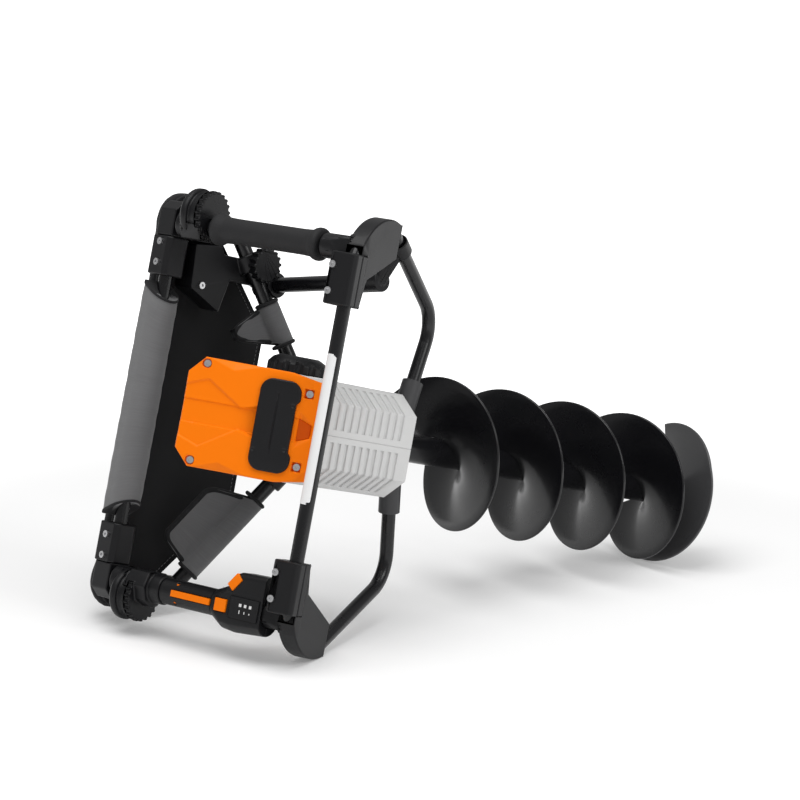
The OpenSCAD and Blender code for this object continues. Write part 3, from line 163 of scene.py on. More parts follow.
def evenly(path: np.ndarray, count: int, endpoint: bool = False) -> np.ndarray:
    """Points at even distances along a path, found from its running length.

    Args:
        path: The path's own points.
        count: Number of points.
        endpoint: Whether the path's last point is one of them.

    Returns:
        The points.
    """
    run = np.concatenate([[0], np.cumsum(np.linalg.norm(np.diff(path, axis=0), axis=1))])
    at = np.linspace(0, run[-1], count, endpoint=endpoint)
    return np.stack([np.interp(at, run, column) for column in path.T], -1)


def linked(name: str, data: Any) -> bpy.types.Object:
    """A new object in the scene, with its data."""
    new = bpy.data.objects.new(name, data)
    bpy.context.scene.collection.objects.link(new)
    return new


@contextmanager
def opened(mesh: bpy.types.Mesh, join: float) -> Iterator[bmesh.types.BMesh]:
    """Opens a mesh for editing, with its near points joined, and puts the result back.

    Args:
        mesh: The mesh.
        join: Points closer than this many metres become one.

    Yields:
        The open mesh.
    """
    work = bmesh.new()
    work.from_mesh(mesh)
    bmesh.ops.remove_doubles(work, verts=work.verts, dist=join)
    yield work
    work.to_mesh(mesh)
    work.free()


class Sock:
    """A shader socket on which arithmetic adds Math nodes."""

    def __init__(self, graph: "Graph", socket: bpy.types.NodeSocket) -> None:
        """Keeps the socket and the graph that it belongs to."""
        self.graph = graph
        self.socket = socket

    def math(self, operation: str, *others: Any) -> "Sock":
        """Adds one Math node on this value and up to two others."""
        return self.graph.node("ShaderNodeMath", {"operation": operation}, dict(enumerate((self, *others))))

    def __add__(self, other: Any) -> "Sock":
        """Sum."""
        return self.math("ADD", other)

    __radd__ = __add__

    def __sub__(self, other: Any) -> "Sock":
        """Difference."""
        return self.math("SUBTRACT", other)

    def __rsub__(self, other: Any) -> "Sock":
        """Difference with this value taken away."""
        return (self * -1.0) + other

    def __mul__(self, other: Any) -> "Sock":
        """Product."""
        return self.math("MULTIPLY", other)

    __rmul__ = __mul__

    def sine(self) -> "Sock":
        """Sine of the value in radians."""
        return self.math("SINE")

    def ramp(self, low: float, high: float) -> "Sock":
        """Smooth step from 0 at low to 1 at high."""
        settings = {"interpolation_type": "SMOOTHSTEP"}
        return self.graph.node("ShaderNodeMapRange", settings, {0: self, 1: low, 2: high})


class Graph:
    """A material's node tree, with one shader and an output."""

    def __init__(self, name: str) -> None:
        """Makes the material with an empty tree, its shader and its output."""
        self.material = bpy.data.materials.new(name)
        self.material.use_nodes = True
        self.tree = self.material.node_tree
        self.tree.nodes.clear()
        self.shader = self.tree.nodes.new("ShaderNodeBsdfPrincipled")
        output = self.tree.nodes.new("ShaderNodeOutputMaterial")
        self.tree.links.new(self.shader.outputs[0], output.inputs[0])

    def node(self, kind: str, settings: dict | None = None, inputs: dict | None = None, out: Any = 0) -> Sock:
        """Adds a node.

        Args:
            kind: The node's type.
            settings: Properties that are set first, such as a Math node's operation.
            inputs: Values or sockets, by the input's name or number.
            out: The output's name or number.

        Returns:
            The chosen output.
        """
        new = self.tree.nodes.new(kind)
        for key, value in (settings or {}).items():
            setattr(new, key, value)
        for key, value in (inputs or {}).items():
            self.feed(new.inputs[key], value)
        return Sock(self, new.outputs[out])

    def feed(self, socket: bpy.types.NodeSocket, value: Any) -> None:
        """Links a socket into an input, or sets the input's own value.

        Args:
            socket: The input.
            value: A socket, or a plain value.
        """
        if isinstance(value, Sock):
            self.tree.links.new(value.socket, socket)
        else:
            socket.default_value = value

    def coords(self, source: str = "Object") -> Sock:
        """The object's own coordinates, or its UV map."""
        return self.node("ShaderNodeTexCoord", out=source)

    def part(self, vector: Sock, axis: str) -> Sock:
        """One component of a vector."""
        return self.node("ShaderNodeSeparateXYZ", inputs={0: vector}, out=axis)

    def noise(self, at: Sock, scale: float, detail: float = 2.0, rough: float = 0.5) -> Sock:
        """Noise of a scale, from about 0 to 1."""
        values = {"Vector": at, "Scale": scale, "Detail": detail, "Roughness": rough}
        return self.node("ShaderNodeTexNoise", inputs=values)

    def mix(self, factor: Any, a: Any, b: Any) -> Sock:
        """A colour between a and b."""
        return self.node("ShaderNodeMix", {"data_type": "RGBA"}, {0: factor, 6: a, 7: b}, out=2)

    def shades(self, colour: Sequence[float], factor: Sock, spread: float) -> Sock:
        """The colour made darker or lighter by up to a share of itself, as the factor goes from 0 to 1."""
        return self.mix(factor, rgba(colour, 1 - spread), rgba(colour, 1 + spread))

    def bump(self, height: Sock, distance: float) -> Sock:
        """A normal from a height, with its depth in metres."""
        return self.node("ShaderNodeBump", inputs={"Height": height, "Distance": distance, "Strength": 1.0})

    def dress(self, **inputs: Any) -> bpy.types.Material:
        """Feeds the shader's inputs, with spaces for underscores, and gives the material."""
        for key, value in inputs.items():
            self.feed(self.shader.inputs[key.replace("_", " ")], value)
        return self.material


def rgba(colour: Sequence[float], gain: float = 1.0) -> tuple[float, ...]:
    """A colour with a gain and full alpha."""
    return tuple(min(channel * gain, 1.0) for channel in colour) + (1.0,)


@dataclass(frozen=True)
class Moulded:
    """Moulded plastic with a fine eroded grain and slightly uneven gloss."""

    name: str
    colour: tuple[float, float, float]
    rough: float = 0.42
    grain: float = 0.06
    spread: float = 0.08
    gloss: float = 0.5

    def material(self) -> bpy.types.Material:
        """Cloudy colour and gloss, with noise of about half a millimetre as the grain."""
        g = Graph(self.name)
        at = g.coords()
        cloud = g.noise(at, scale=14, detail=4)
        grit = g.noise(at, scale=1500, detail=2)
        flow = g.noise(at, scale=60, detail=3)
        return g.dress(
            Base_Color=g.shades(self.colour, cloud * 0.6 + flow * 0.4, self.spread),
            Roughness=cloud * 0.1 + grit * 0.08 + (self.rough - 0.09),
            Specular_IOR_Level=self.gloss,
            Normal=g.bump(grit, self.grain * MM),
        )


@dataclass(frozen=True)
class Painted:
    """Coated metal with a faint orange peel and rubbed patches."""

    name: str
    colour: tuple[float, float, float]
    rough: float = 0.3
    peel: float = 0.05
    rub: float = 0.12
    coat: float = 0.25
    spread: float = 0.1
    gloss: float = 0.5

    def material(self) -> bpy.types.Material:
        """Noise of 2 mm as the peel, and broad noise that dulls the gloss."""
        g = Graph(self.name)
        at = g.coords()
        peel = g.noise(at, scale=420, detail=2)
        haze = g.noise(at, scale=9, detail=5, rough=0.6)
        return g.dress(
            Base_Color=g.shades(self.colour, haze, self.spread),
            Roughness=haze.ramp(0.3, 0.75) * self.rub + (self.rough - self.rub / 2),
            Specular_IOR_Level=self.gloss,
            Coat_Weight=self.coat,
            Coat_Roughness=0.15,
            Normal=g.bump(peel, self.peel * MM),
        )


@dataclass(frozen=True)
class Metal:
    """Bare metal with fine turning marks."""

    name: str
    colour: tuple[float, float, float]
    rough: float = 0.28
    marks: float = 0.02

    def material(self) -> bpy.types.Material:
        """Fine noise for the marks and broad noise for a dull film."""
        g = Graph(self.name)
        at = g.coords()
        marks = g.noise(at, scale=2200, detail=2)
        film = g.noise(at, scale=70, detail=4)
        return g.dress(
            Base_Color=g.shades(self.colour, film, 0.12),
            Metallic=1.0,
            Roughness=film * 0.2 + marks * 0.08 + (self.rough - 0.14),
            Normal=g.bump(marks, self.marks * MM),
        )


class Laid(Enum):
    """How a weave is laid on a piece."""

    UV = "UV"
    FLAT = "Object"


@dataclass(frozen=True)
class Woven:
    """Cloth whose threads cross at right angles, with lint and worn patches."""

    name: str
    colour: tuple[float, float, float]
    pitch: float = 1.3
    depth: float = 0.16
    laid: Laid = Laid.UV
    spread: float = 0.22
    streak: float = 0.0
    sheen: float = 0.25

    def threads(self, g: Graph) -> tuple[Sock, Sock]:
        """Two coordinates across the cloth, in metres.

        Args:
            g: The material's graph.

        Returns:
            The coordinate along the cloth and the one across it.
        """
        at = g.coords(self.laid.value)
        if self.laid is Laid.UV:
            return g.part(at, "X"), g.part(at, "Y")
        dots = []
        for axis in AXES.basis[[0, 2]]:
            dots.append(g.node("ShaderNodeVectorMath", {"operation": "DOT_PRODUCT"},
                               {0: at, 1: tuple(axis)}, out="Value"))
        return dots[0], dots[1]

    def material(self) -> bpy.types.Material:
        """Product of two sines as the threads, lint from noise, and streaks along one thread."""
        g = Graph(self.name)
        along, across = self.threads(g)
        wave = 2 * math.pi / (self.pitch * MM)
        threads = (along * wave).sine() * (across * wave).sine() * 0.5 + 0.5
        at = g.coords()
        lint = g.noise(at, scale=900, detail=3, rough=0.7)
        patch = g.noise(at, scale=22, detail=4, rough=0.6)
        drawn_out = g.node("ShaderNodeCombineXYZ", inputs={0: along * 6, 1: across * 220})
        fine = g.noise(drawn_out, scale=4, detail=3)
        tone = threads * 0.35 + lint * 0.4 + patch * 0.25 + (fine - 0.5) * self.streak
        return g.dress(
            Base_Color=g.shades(self.colour, tone, self.spread),
            Roughness=lint * 0.1 + 0.82,
            Sheen_Weight=self.sheen,
            Sheen_Roughness=0.5,
            Normal=g.bump(threads * 0.6 + lint * 0.5, self.depth * MM),
        )


@dataclass(frozen=True)
class Foamed:
    """Closed-cell foam with small pores."""

    name: str
    colour: tuple[float, float, float]
    rough: float = 0.75

    def material(self) -> bpy.types.Material:
        """Cells of about a millimetre, sunk between their walls."""
        g = Graph(self.name)
        at = g.coords()
        cells = g.node("ShaderNodeTexVoronoi", {"feature": "F1"}, {"Vector": at, "Scale": 700})
        cloud = g.noise(at, scale=30, detail=4)
        return g.dress(
            Base_Color=g.shades(self.colour, cells * 0.5 + cloud * 0.5, 0.25),
            Roughness=cloud * 0.15 + (self.rough - 0.07),
            Normal=g.bump(cells, 0.12 * MM),
        )


MADE: dict[str, bpy.types.Material] = {}


class Finish(Enum):
    """Every finish on the machine, by the name of its material slot where it has one."""

    TUBE_BLACK = Painted("tube_black", (0.004, 0.004, 0.005), rough=0.3, coat=0.08, gloss=0.35)
    PLASTIC_BLACK = Moulded("plastic_black", (0.005, 0.005, 0.006), rough=0.42, grain=0.05, gloss=0.28)
    FOAM_BLACK = Foamed("foam_black", (0.005, 0.005, 0.006))
    PLASTIC_ORANGE = Moulded("plastic_orange", (0.97, 0.2, 0.001), rough=0.4, grain=0.03, spread=0.03,
                             gloss=0.12)
    PLASTIC_GREY = Moulded("plastic_grey", (0.62, 0.62, 0.615), rough=0.5, grain=0.05, spread=0.04)
    FABRIC_DARK_GREY = Woven("fabric_dark_grey", (0.125, 0.125, 0.128), streak=0.9)
    FABRIC_GREY = Woven("fabric_grey", (0.15, 0.15, 0.153), streak=0.7)
    STEEL = Metal("steel", (0.62, 0.62, 0.63))
    MOTOR_IRON = Metal("motor_iron", (0.24, 0.2, 0.16), rough=0.45)
    CAST_DARK = Painted("cast_dark", (0.03, 0.03, 0.032), rough=0.5, peel=0.12, coat=0.0)
    CIRCUIT = Moulded("circuit", (0.02, 0.13, 0.06), rough=0.4)
    BIT_BLACK = Painted("bit_black", (0.005, 0.005, 0.006), rough=0.26, peel=0.03, coat=0.25, gloss=0.3)
    BIT_STEEL = Painted("bit_steel", (0.05, 0.05, 0.052), rough=0.36, coat=0.1)
    BINDING = Woven("binding_black", (0.005, 0.005, 0.006), pitch=1.1, depth=0.1, sheen=0.05)
    PAD_FELT = Woven("pad_felt", (0.005, 0.005, 0.006), pitch=1.8, laid=Laid.FLAT, spread=0.3, sheen=0.02)
    PAD_SIDE = Woven("pad_side", (0.006, 0.006, 0.007), pitch=1.4, laid=Laid.FLAT, sheen=0.05)
    LABEL_WHITE = Moulded("label_white", (0.85, 0.85, 0.85), rough=0.3, grain=0.01, spread=0.02)
    MARK_WHITE = Moulded("mark_white", (0.75, 0.75, 0.75), rough=0.4, grain=0.0, spread=0.02)
    # Darker orange on the sunk tab below the plate: painted shade of its bay
    ORANGE_PAINTED_SHADE = Moulded("orange_painted_shade", (0.6, 0.08, 0.001), rough=0.4, grain=0.03, spread=0.03, gloss=0.12)

    def get(self) -> bpy.types.Material:
        """The finish's material, made once and kept apart from the frame's plain ones of the same names."""
        if self.name not in MADE:
            MADE[self.name] = self.value.material()
        return MADE[self.name]


class Piece:
    """Grids of points collected into one mesh, with a UV map in metres and one finish a grid."""

    def __init__(self, name: str) -> None:
        """Starts an empty piece."""
        self.name = name
        self.points: list[np.ndarray] = []
        self.faces: list[np.ndarray] = []
        self.uvs: list[np.ndarray] = []
        self.slots: list[np.ndarray] = []
        self.finishes: list[Finish] = []
        self.count = 0

    def grid(self, points: np.ndarray, finish: Finish, around: bool = False, ends: bool = False,
             loop: bool = False, flip: bool = False) -> "Piece":
        """Adds a grid of quads.

        Args:
            points: Row points in metres, rows by columns by 3.
            finish: The finish of its faces.
            around: Joins the last column to the first.
            ends: Closes the first and the last row with a fan about its middle.
            loop: Joins the last row to the first.
            flip: Turns the faces over.

        Returns:
            This piece.
        """
        rows, columns = points.shape[:2]
        stride = np.linalg.norm(np.diff(points, axis=1), axis=2)
        across = np.concatenate([np.zeros((rows, 1)), np.cumsum(stride, 1)], 1).mean(0)
        along = np.concatenate([[0], np.cumsum(np.linalg.norm(np.diff(points, axis=0), axis=2).mean(1))])
        closing = np.linalg.norm(points[:, 0] - points[:, -1], axis=1).mean()
        u = np.append(across, across[-1] + closing)
        v = np.append(along, along[-1] + np.linalg.norm(points[0] - points[-1], axis=1).mean())
        spans = np.arange(rows if loop else rows - 1), np.arange(columns if around else columns - 1)
        i, j = np.meshgrid(*spans, indexing="ij")
        corner_rows = np.stack([i, i, i + 1, i + 1], -1).reshape(-1, 4)
        corner_columns = np.stack([j, j + 1, j + 1, j], -1).reshape(-1, 4)
        quads = (corner_rows % rows) * columns + corner_columns % columns
        uv = np.stack([u[corner_columns], v[corner_rows]], -1)
        all_points = points.reshape(-1, 3)
        if ends:
            k = np.arange(columns)
            for number, row in enumerate((0, rows - 1)):
                middle = np.full(columns, rows * columns + number)
                fan = np.stack([row * columns + (k + 1) % columns, row * columns + k, middle, middle], -1)
                quads = np.concatenate([quads, fan])
            flat = np.stack([np.tile(u[:columns], 2), np.zeros(2 * columns)], -1)
            uv = np.concatenate([uv, np.repeat(flat[:, None], 4, 1)])
            all_points = np.concatenate([all_points, points[[0, -1]].mean(1)])
        if flip:
            quads, uv = quads[:, ::-1], uv[:, ::-1]
        if finish not in self.finishes:
            self.finishes.append(finish)
        self.points.append(all_points)
        self.faces.append(quads + self.count)
        self.uvs.append(uv)
        self.slots.append(np.full(len(quads), self.finishes.index(finish)))
        self.count += len(all_points)
        return self

    def build(self, body: str = "machine", slot: str | None = None, replaces: Sequence[str] = (),
              sharp: float = 35.0) -> bpy.types.Object:
        """Makes the object, closes its seams and sets it on a body.

        Args:
            body: The body that it rides on.
            slot: The record's material slot, or the first finish's own.
            replaces: The solids that it stands for.
            sharp: Edges that turn by more degrees stay sharp.

        Returns:
            The object.
        """
        quads = np.concatenate(self.faces)
        uv = np.concatenate(self.uvs)
        triangle = quads[:, 2] == quads[:, 3]
        corners = [list(q[:3]) if t else list(q) for q, t in zip(quads.tolist(), triangle.tolist())]
        mesh = bpy.data.meshes.new(self.name)
        mesh.from_pydata(np.concatenate(self.points).tolist(), [], corners)
        keep = np.ones((len(quads), 4), bool)
        keep[triangle, 3] = False
        mesh.uv_layers.new(name="metres").data.foreach_set("uv", uv[keep].ravel())
        mesh.polygons.foreach_set("material_index", np.concatenate(self.slots).astype(np.int32))
        for finish in self.finishes:
            mesh.materials.append(finish.get())
        with opened(mesh, JOIN_NEW) as work:
            bmesh.ops.recalc_face_normals(work, faces=work.faces)
        return set_piece(self.name, mesh, body, slot or self.finishes[0].value.name, replaces, sharp)


def set_piece(name: str, mesh: bpy.types.Mesh, body: str, slot: str, replaces: Sequence[str],
              sharp: float = 35.0) -> bpy.types.Object:
    """Puts a mesh into the scene as a piece that rides on a body.

    Args:
        name: The piece's name.
        mesh: Its mesh, with its place in the points.
        body: The body that it rides on.
        slot: The record's material slot; not used.
        replaces: The solids that it stands for.
        sharp: Edges that turn by more degrees stay sharp.

    Returns:
        The piece's object.
    """
    mesh.shade_smooth()
    mesh.set_sharp_from_angle(angle=math.radians(sharp))
    piece = linked(name, mesh)
    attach(piece, body)
    if replaces:
        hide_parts(*replaces)
    LOG.info("%s: %d faces on %s", name, len(mesh.polygons), body)
    return piece


def merged_copy(node: str, whole: bool = True) -> bpy.types.Mesh:
    """A copy of a solid's mesh with its loose triangles joined.

    Args:
        node: The solid's name.
        whole: Whether its flat faces are made whole, which faces with many holes don't bear.

    Returns:
        The copy.
    """
    mesh = frame["nodes"][node].data.copy()
    with opened(mesh, JOIN_SOLID) as work:
        if whole:
            flat = math.radians(FLAT_TURN)
            bmesh.ops.dissolve_limit(work, angle_limit=flat, verts=work.verts, edges=work.edges)
    return mesh


def softened(node: str, finish: Finish, edge: float, whole: bool = True, held: bool = False) -> None:
    """Makes a copy of a solid with rounded edges, which stands for it.

    Args:
        node: The solid's name.
        finish: The copy's finish.
        edge: Width of the rounding, in millimetres.
        whole: Whether flat faces are made whole first.
        held: Whether the rounding is kept from overlapping itself.
    """
    mesh = merged_copy(node, whole)
    mesh.materials.clear()
    mesh.materials.append(finish.get())
    piece = set_piece(node + "_moulded", mesh, BODY_OF[node], SLOT_OF[node], [node])
    bevel = piece.modifiers.new("rounding", "BEVEL")
    bevel.width = edge * MM
    bevel.segments = ROUND_STEPS
    bevel.limit_method = "ANGLE"
    bevel.angle_limit = math.radians(ROUND_TURN)
    bevel.use_clamp_overlap = held
    bevel.harden_normals = True


def finished(node: str, finish: Finish) -> None:
    """Gives a solid that stays its finish."""
    for place in frame["nodes"][node].material_slots:
        place.material = finish.get()


@dataclass(frozen=True)
class FrontFrame:
    """Brackets of the front frame, and the bare white sleeve label on its cross tube."""

    cross_y: float = -120.0
    cross_z: float = 179.0
    tube_r: float = 9.0
    label_x: tuple[float, float] = (-88.0, 100.0)
    label_lift: float = 0.25
    label_foot: float = 0.02
    label_mid: float = 60.0
    label_sweep: float = 190.0
    label_corner: float = 5.0
    label_grid: tuple[int, int] = (48, 33)
    edge: float = 2.2

    def label(self) -> None:
        """A part cylinder round the tube: rows along x, columns round the sweep, with rounded corners."""
        along = np.linspace(*self.label_x, self.label_grid[0])
        near = np.minimum(along - along[0], along[-1] - along)
        corner = self.label_corner
        short = corner - np.sqrt(np.clip(corner**2 - np.clip(corner - near, 0, None) ** 2, 0, None))
        half = np.radians(self.label_sweep / 2) - short / self.tube_r
        angle = np.radians(self.label_mid) + half[:, None] * np.linspace(-1, 1, self.label_grid[1])
        along = np.broadcast_to(along[:, None], angle.shape)
        rings = []
        for lift in (self.label_lift, self.label_foot):
            r = self.tube_r + lift
            y, z = self.cross_y + r * np.cos(angle), self.cross_z + r * np.sin(angle)
            rings.append(np.stack([along, y, z], -1))
        points = np.concatenate([rings[0], rings[1][:, ::-1]], 1)
        label = Piece("tube_label").grid(AXES.lay(points), Finish.LABEL_WHITE, around=True, ends=True)
        label.build(slot="plastic_grey")

    def build(self) -> None:
        """Rounds the brackets and lays the label."""
        for side in SIDES:
            softened("bracket_cap_" + side, Finish.PLASTIC_BLACK, self.edge)
            softened("bracket_wing_" + side, Finish.PLASTIC_BLACK, self.edge)
        self.label()


def relief(name: str, place: Place, x: np.ndarray, y: np.ndarray, z: np.ndarray, foot: float,
           finish: Finish) -> Piece:
    """A closed plate from a height field: its top, a flat underside and the wall between them.

    Args:
        name: The piece's name.
        place: The workplace that the field is written in.
        x: Places across, rows by columns.
        y: Places along, rows by columns.
        z: Heights, rows by columns.
        foot: Height of the underside.
        finish: The finish of all its faces.

    Returns:
        The piece, not yet built.
    """
    top = place.lay(np.stack([x, y, z], -1))
    low = place.lay(np.stack([x, y, np.full_like(z, foot)], -1))
    rims = [np.concatenate([g[0, :-1], g[:-1, -1], g[-1, :0:-1], g[:0:-1, 0]]) for g in (top, low)]
    plate = Piece(name).grid(top, finish).grid(low, finish, flip=True)
    return plate.grid(np.stack(rims), finish, around=True)


def step(distance: np.ndarray, width: float) -> np.ndarray:
    """Smooth step from 0 at a distance of 0 to 1 at a width inside."""
    t = np.clip(distance / width, 0, 1)
    return t * t * (3 - 2 * t)


def rounded(distance: np.ndarray, radius: float) -> np.ndarray:
    """Drop of a quarter-round edge at a distance inside it."""
    t = np.clip(1 - distance / radius, 0, 1)
    return radius * (1 - np.sqrt(1 - t * t))


@dataclass(frozen=True)
class FrontCover:
    """Faceted orange cover on the shell's slope, with its bare black plate and its tab.

    Its own axes are x to the left, y up the slope and z out of the shell. The bends give places up the
    slope and half a width, or a depth, at each.
    """

    corner: Triple = (0.0, -95.0, 158.0)
    slope: float = 42.0
    length: float = 174.85
    half: float = 69.0
    foot_y: float = 4.0
    foot_in: float = 7.0
    full_y: float = 45.0
    top_gap: float = 1.0
    height: float = 14.0
    underside: float = 0.1
    chamfer: float = 20.0
    crown_half: float = 48.0
    edge_r: float = 2.0
    grid: tuple[int, int] = (172, 140)
    facet_slope: float = 0.62
    crease: Bends = ((76.0, 117.5, 150.0), (70.0, 58.0, 69.0))
    low_crease: Bends = ((9.0, 21.0, 30.0), (50.0, 62.0, 70.0))
    low_share: float = 0.5
    sunk: Bends = ((79.5, 101.0, 146.5, 174.85), (20.5, 14.5, 43.5, 33.0))
    sunk_depth: Bends = ((79.5, 101.0), (5.0, 1.8))
    wall: float = 2.5
    bay: Bends = ((8.0, 27.5), (10.0, 25.0))
    bay_y: tuple[float, float] = (8.0, 29.0)
    bay_soft: Triple = (9.0, 4.0, 3.0)
    bay_depth: float = 2.5
    slot: Bends = ((8.0, 10.0, 27.5), (8.0, 8.5, 15.0))
    slot_wall: float = 0.8
    slot_end: float = 1.0
    slot_depth: float = 1.5
    screw_low: tuple[float, float] = (46.0, 20.0)
    screw_high: tuple[float, float] = (61.0, 22.0)
    pocket: float = 6.0
    pocket_wall: float = 0.8
    seat: float = 5.1
    plate_half: float = 58.0
    plate_y: tuple[float, float] = (29.0, 81.0)
    plate_r: float = 16.0
    plate_top: float = 18.0
    plate_sunk: float = 4.5
    plate_edge: float = 2.2
    plate_crown: tuple[float, float] = (0.4, 14.0)
    plate_grid: tuple[int, int] = (60, 130)
    lobe_in: float = 4.0
    lobe_half: float = 36.0
    lobe_soft: float = 7.0
    groove_x: tuple[float, float] = (-36.0, 42.0)
    groove_y: float = 57.0
    groove_half: float = 0.9
    groove_wall: float = 0.5
    groove_end: float = 1.0
    groove_depth: float = 0.8
    dimples: tuple[tuple[float, float], ...] = ((28.0, 37.0), (-28.0, 38.0), (-33.0, 77.0))
    dimple_r: float = 2.4
    dimple_wall: float = 0.8
    dimple_depth: float = 1.2
    tab_y: tuple[float, float] = (10.6, 27.0)
    tab: Bends = ((10.0, 27.5), (8.0, 14.2))
    tab_below: float = 1.9
    tab_sunk: float = 6.0
    tab_edge: float = 1.0
    tab_grid: tuple[int, int] = (24, 24)

    @property
    def place(self) -> Place:
        """Where the cover lies on the shell."""
        return Place.tilted(self.corner, self.slope)

    @property
    def top_y(self) -> float:
        """The cover's upper edge."""
        return self.length - self.top_gap

    def outline(self, y: np.ndarray) -> np.ndarray:
        """Half the width of the cover at a place up the slope."""
        return np.interp(y, [self.foot_y, self.full_y, self.length - self.chamfer, self.top_y],
                         [self.half - self.foot_in, self.half, self.half, self.crown_half])

    def pockets(self, x: np.ndarray, y: np.ndarray) -> np.ndarray:
        """How far a place lies inside the nearest screw pocket: square below, round above.

        Args:
            x: Places across, without their sign.
            y: Places up the slope.

        Returns:
            The distances, below zero outside.
        """
        square = self.pocket - np.maximum(np.abs(x - self.screw_low[0]), np.abs(y - self.screw_low[1]))
        round_ = self.pocket - np.hypot(x - self.screw_high[0], y - (self.length - self.screw_high[1]))
        return np.maximum(square, round_)

    def heights(self, x: np.ndarray, y: np.ndarray, rim: np.ndarray) -> np.ndarray:
        """Height of the cover: side facets, the sunk middle, the scoop at the plate, the tab and the pockets.

        Args:
            x: Places across, without their sign.
            y: Places up the slope.
            rim: Distance from the outline.

        Returns:
            The heights.
        """
        z = np.full_like(x, self.height)
        z -= self.facet_slope * np.clip(x - np.interp(y, *self.crease), 0, None)
        z -= self.facet_slope * self.low_share * np.clip(x - np.interp(y, *self.low_crease), 0, None)
        depth = np.interp(y, *self.sunk_depth) * (y > self.plate_y[1] - self.plate_r)
        z -= depth * step(np.interp(y, *self.sunk) - x, self.wall)
        beside, above, below = self.bay_soft
        foot, top = self.bay_y
        in_bay = step(np.interp(y, *self.bay) - x, beside)
        z -= self.bay_depth * in_bay * step(top - y, above) * step(y - foot, below)
        in_slot = step(np.interp(y, *self.slot) - x, self.slot_wall)
        z -= self.slot_depth * in_slot * step(y - foot, self.slot_end)
        z -= rounded(rim, self.edge_r)
        inside = step(self.pockets(x, y), self.pocket_wall)
        return z * (1 - inside) + self.seat * inside

    def make_cover(self) -> None:
        """The cover as a height field that follows its outline."""
        rows, columns = self.grid
        y = np.linspace(self.foot_y, self.top_y, rows)[:, None]
        half = self.outline(y)
        x = half * np.linspace(-1, 1, columns)
        y = np.broadcast_to(y, x.shape)
        rim = np.minimum(half - np.abs(x), np.minimum(y - self.foot_y, self.top_y - y))
        z = self.heights(np.abs(x), y, rim)
        cover = relief("faceted_cover", self.place, x, y, z, self.underside, Finish.PLASTIC_ORANGE)
        cover.build(replaces=["front_cover"], sharp=28)

    def make_plate(self) -> None:
        """The plate: round corners, a lower edge drawn in between two lobes, a groove and three dimples."""
        rows, columns = self.plate_grid
        x = self.plate_half * np.sin(np.linspace(-np.pi / 2, np.pi / 2, columns))[None, :]
        over = np.clip(np.abs(x) - (self.plate_half - self.plate_r), 0, None)
        corner = self.plate_r - np.sqrt(np.clip(self.plate_r**2 - over**2, 0, None))
        drawn = self.lobe_in * step(self.lobe_half - np.abs(x), self.lobe_soft)
        low = self.plate_y[0] + corner + drawn
        high = self.plate_y[1] - corner
        t = np.linspace(0, 1, rows)[:, None]
        y = low + (high - low) * t
        x = np.broadcast_to(x, y.shape)
        rim = np.minimum(np.minimum(y - low, high - y), self.plate_half - np.abs(x))
        rise, run = self.plate_crown
        z = self.plate_top - rounded(rim, self.plate_edge) + rise * step(rim, run)
        groove = step(self.groove_half - np.abs(y - self.groove_y), self.groove_wall)
        start, end = self.groove_x
        z = z - self.groove_depth * groove * step(np.minimum(end - x, x - start), self.groove_end)
        for at_x, at_y in self.dimples:
            inside = self.dimple_r - np.hypot(x - at_x, y - at_y)
            z = z - self.dimple_depth * step(inside, self.dimple_wall)
        foot = self.height - self.plate_sunk
        plate = relief("cover_badge", self.place, x, y, z, foot, Finish.PLASTIC_BLACK)
        plate.build(replaces=["cover_plate"], sharp=40)

    def make_tab(self) -> None:
        """The tab below the plate, darker orange as painted shade of its sunk bay: a height field as wide as
        its bends say.
        """
        rows, columns = self.tab_grid
        low, high = self.tab_y
        y = np.linspace(low, high, rows)[:, None]
        half = np.interp(y, *self.tab)
        x = half * np.linspace(-1, 1, columns)[None, :]
        y = np.broadcast_to(y, x.shape)
        rim = np.minimum(half - np.abs(x), np.minimum(y - low, high - y))
        z = self.height - self.tab_below - rounded(rim, self.tab_edge)
        foot = self.height - self.tab_sunk
        # The tab's darker orange is painted shade of the sunk bay
        relief("cover_tab", self.place, x, y, z, foot, Finish.ORANGE_PAINTED_SHADE).build(slot="plastic_orange")

    def build(self) -> None:
        """Makes the cover, its plate and its tab."""
        self.make_cover()
        self.make_plate()
        self.make_tab()


@dataclass(frozen=True)
class MotorShell:
    """Light shell halves and the intake cap."""

    edge: float = 1.6
    groove_edge: float = 0.9

    def build(self) -> None:
        """Rounds the solids."""
        for side in SIDES:
            softened("shell_" + side, Finish.PLASTIC_GREY, self.groove_edge, whole=False)
        softened("intake_cap", Finish.PLASTIC_BLACK, self.edge)


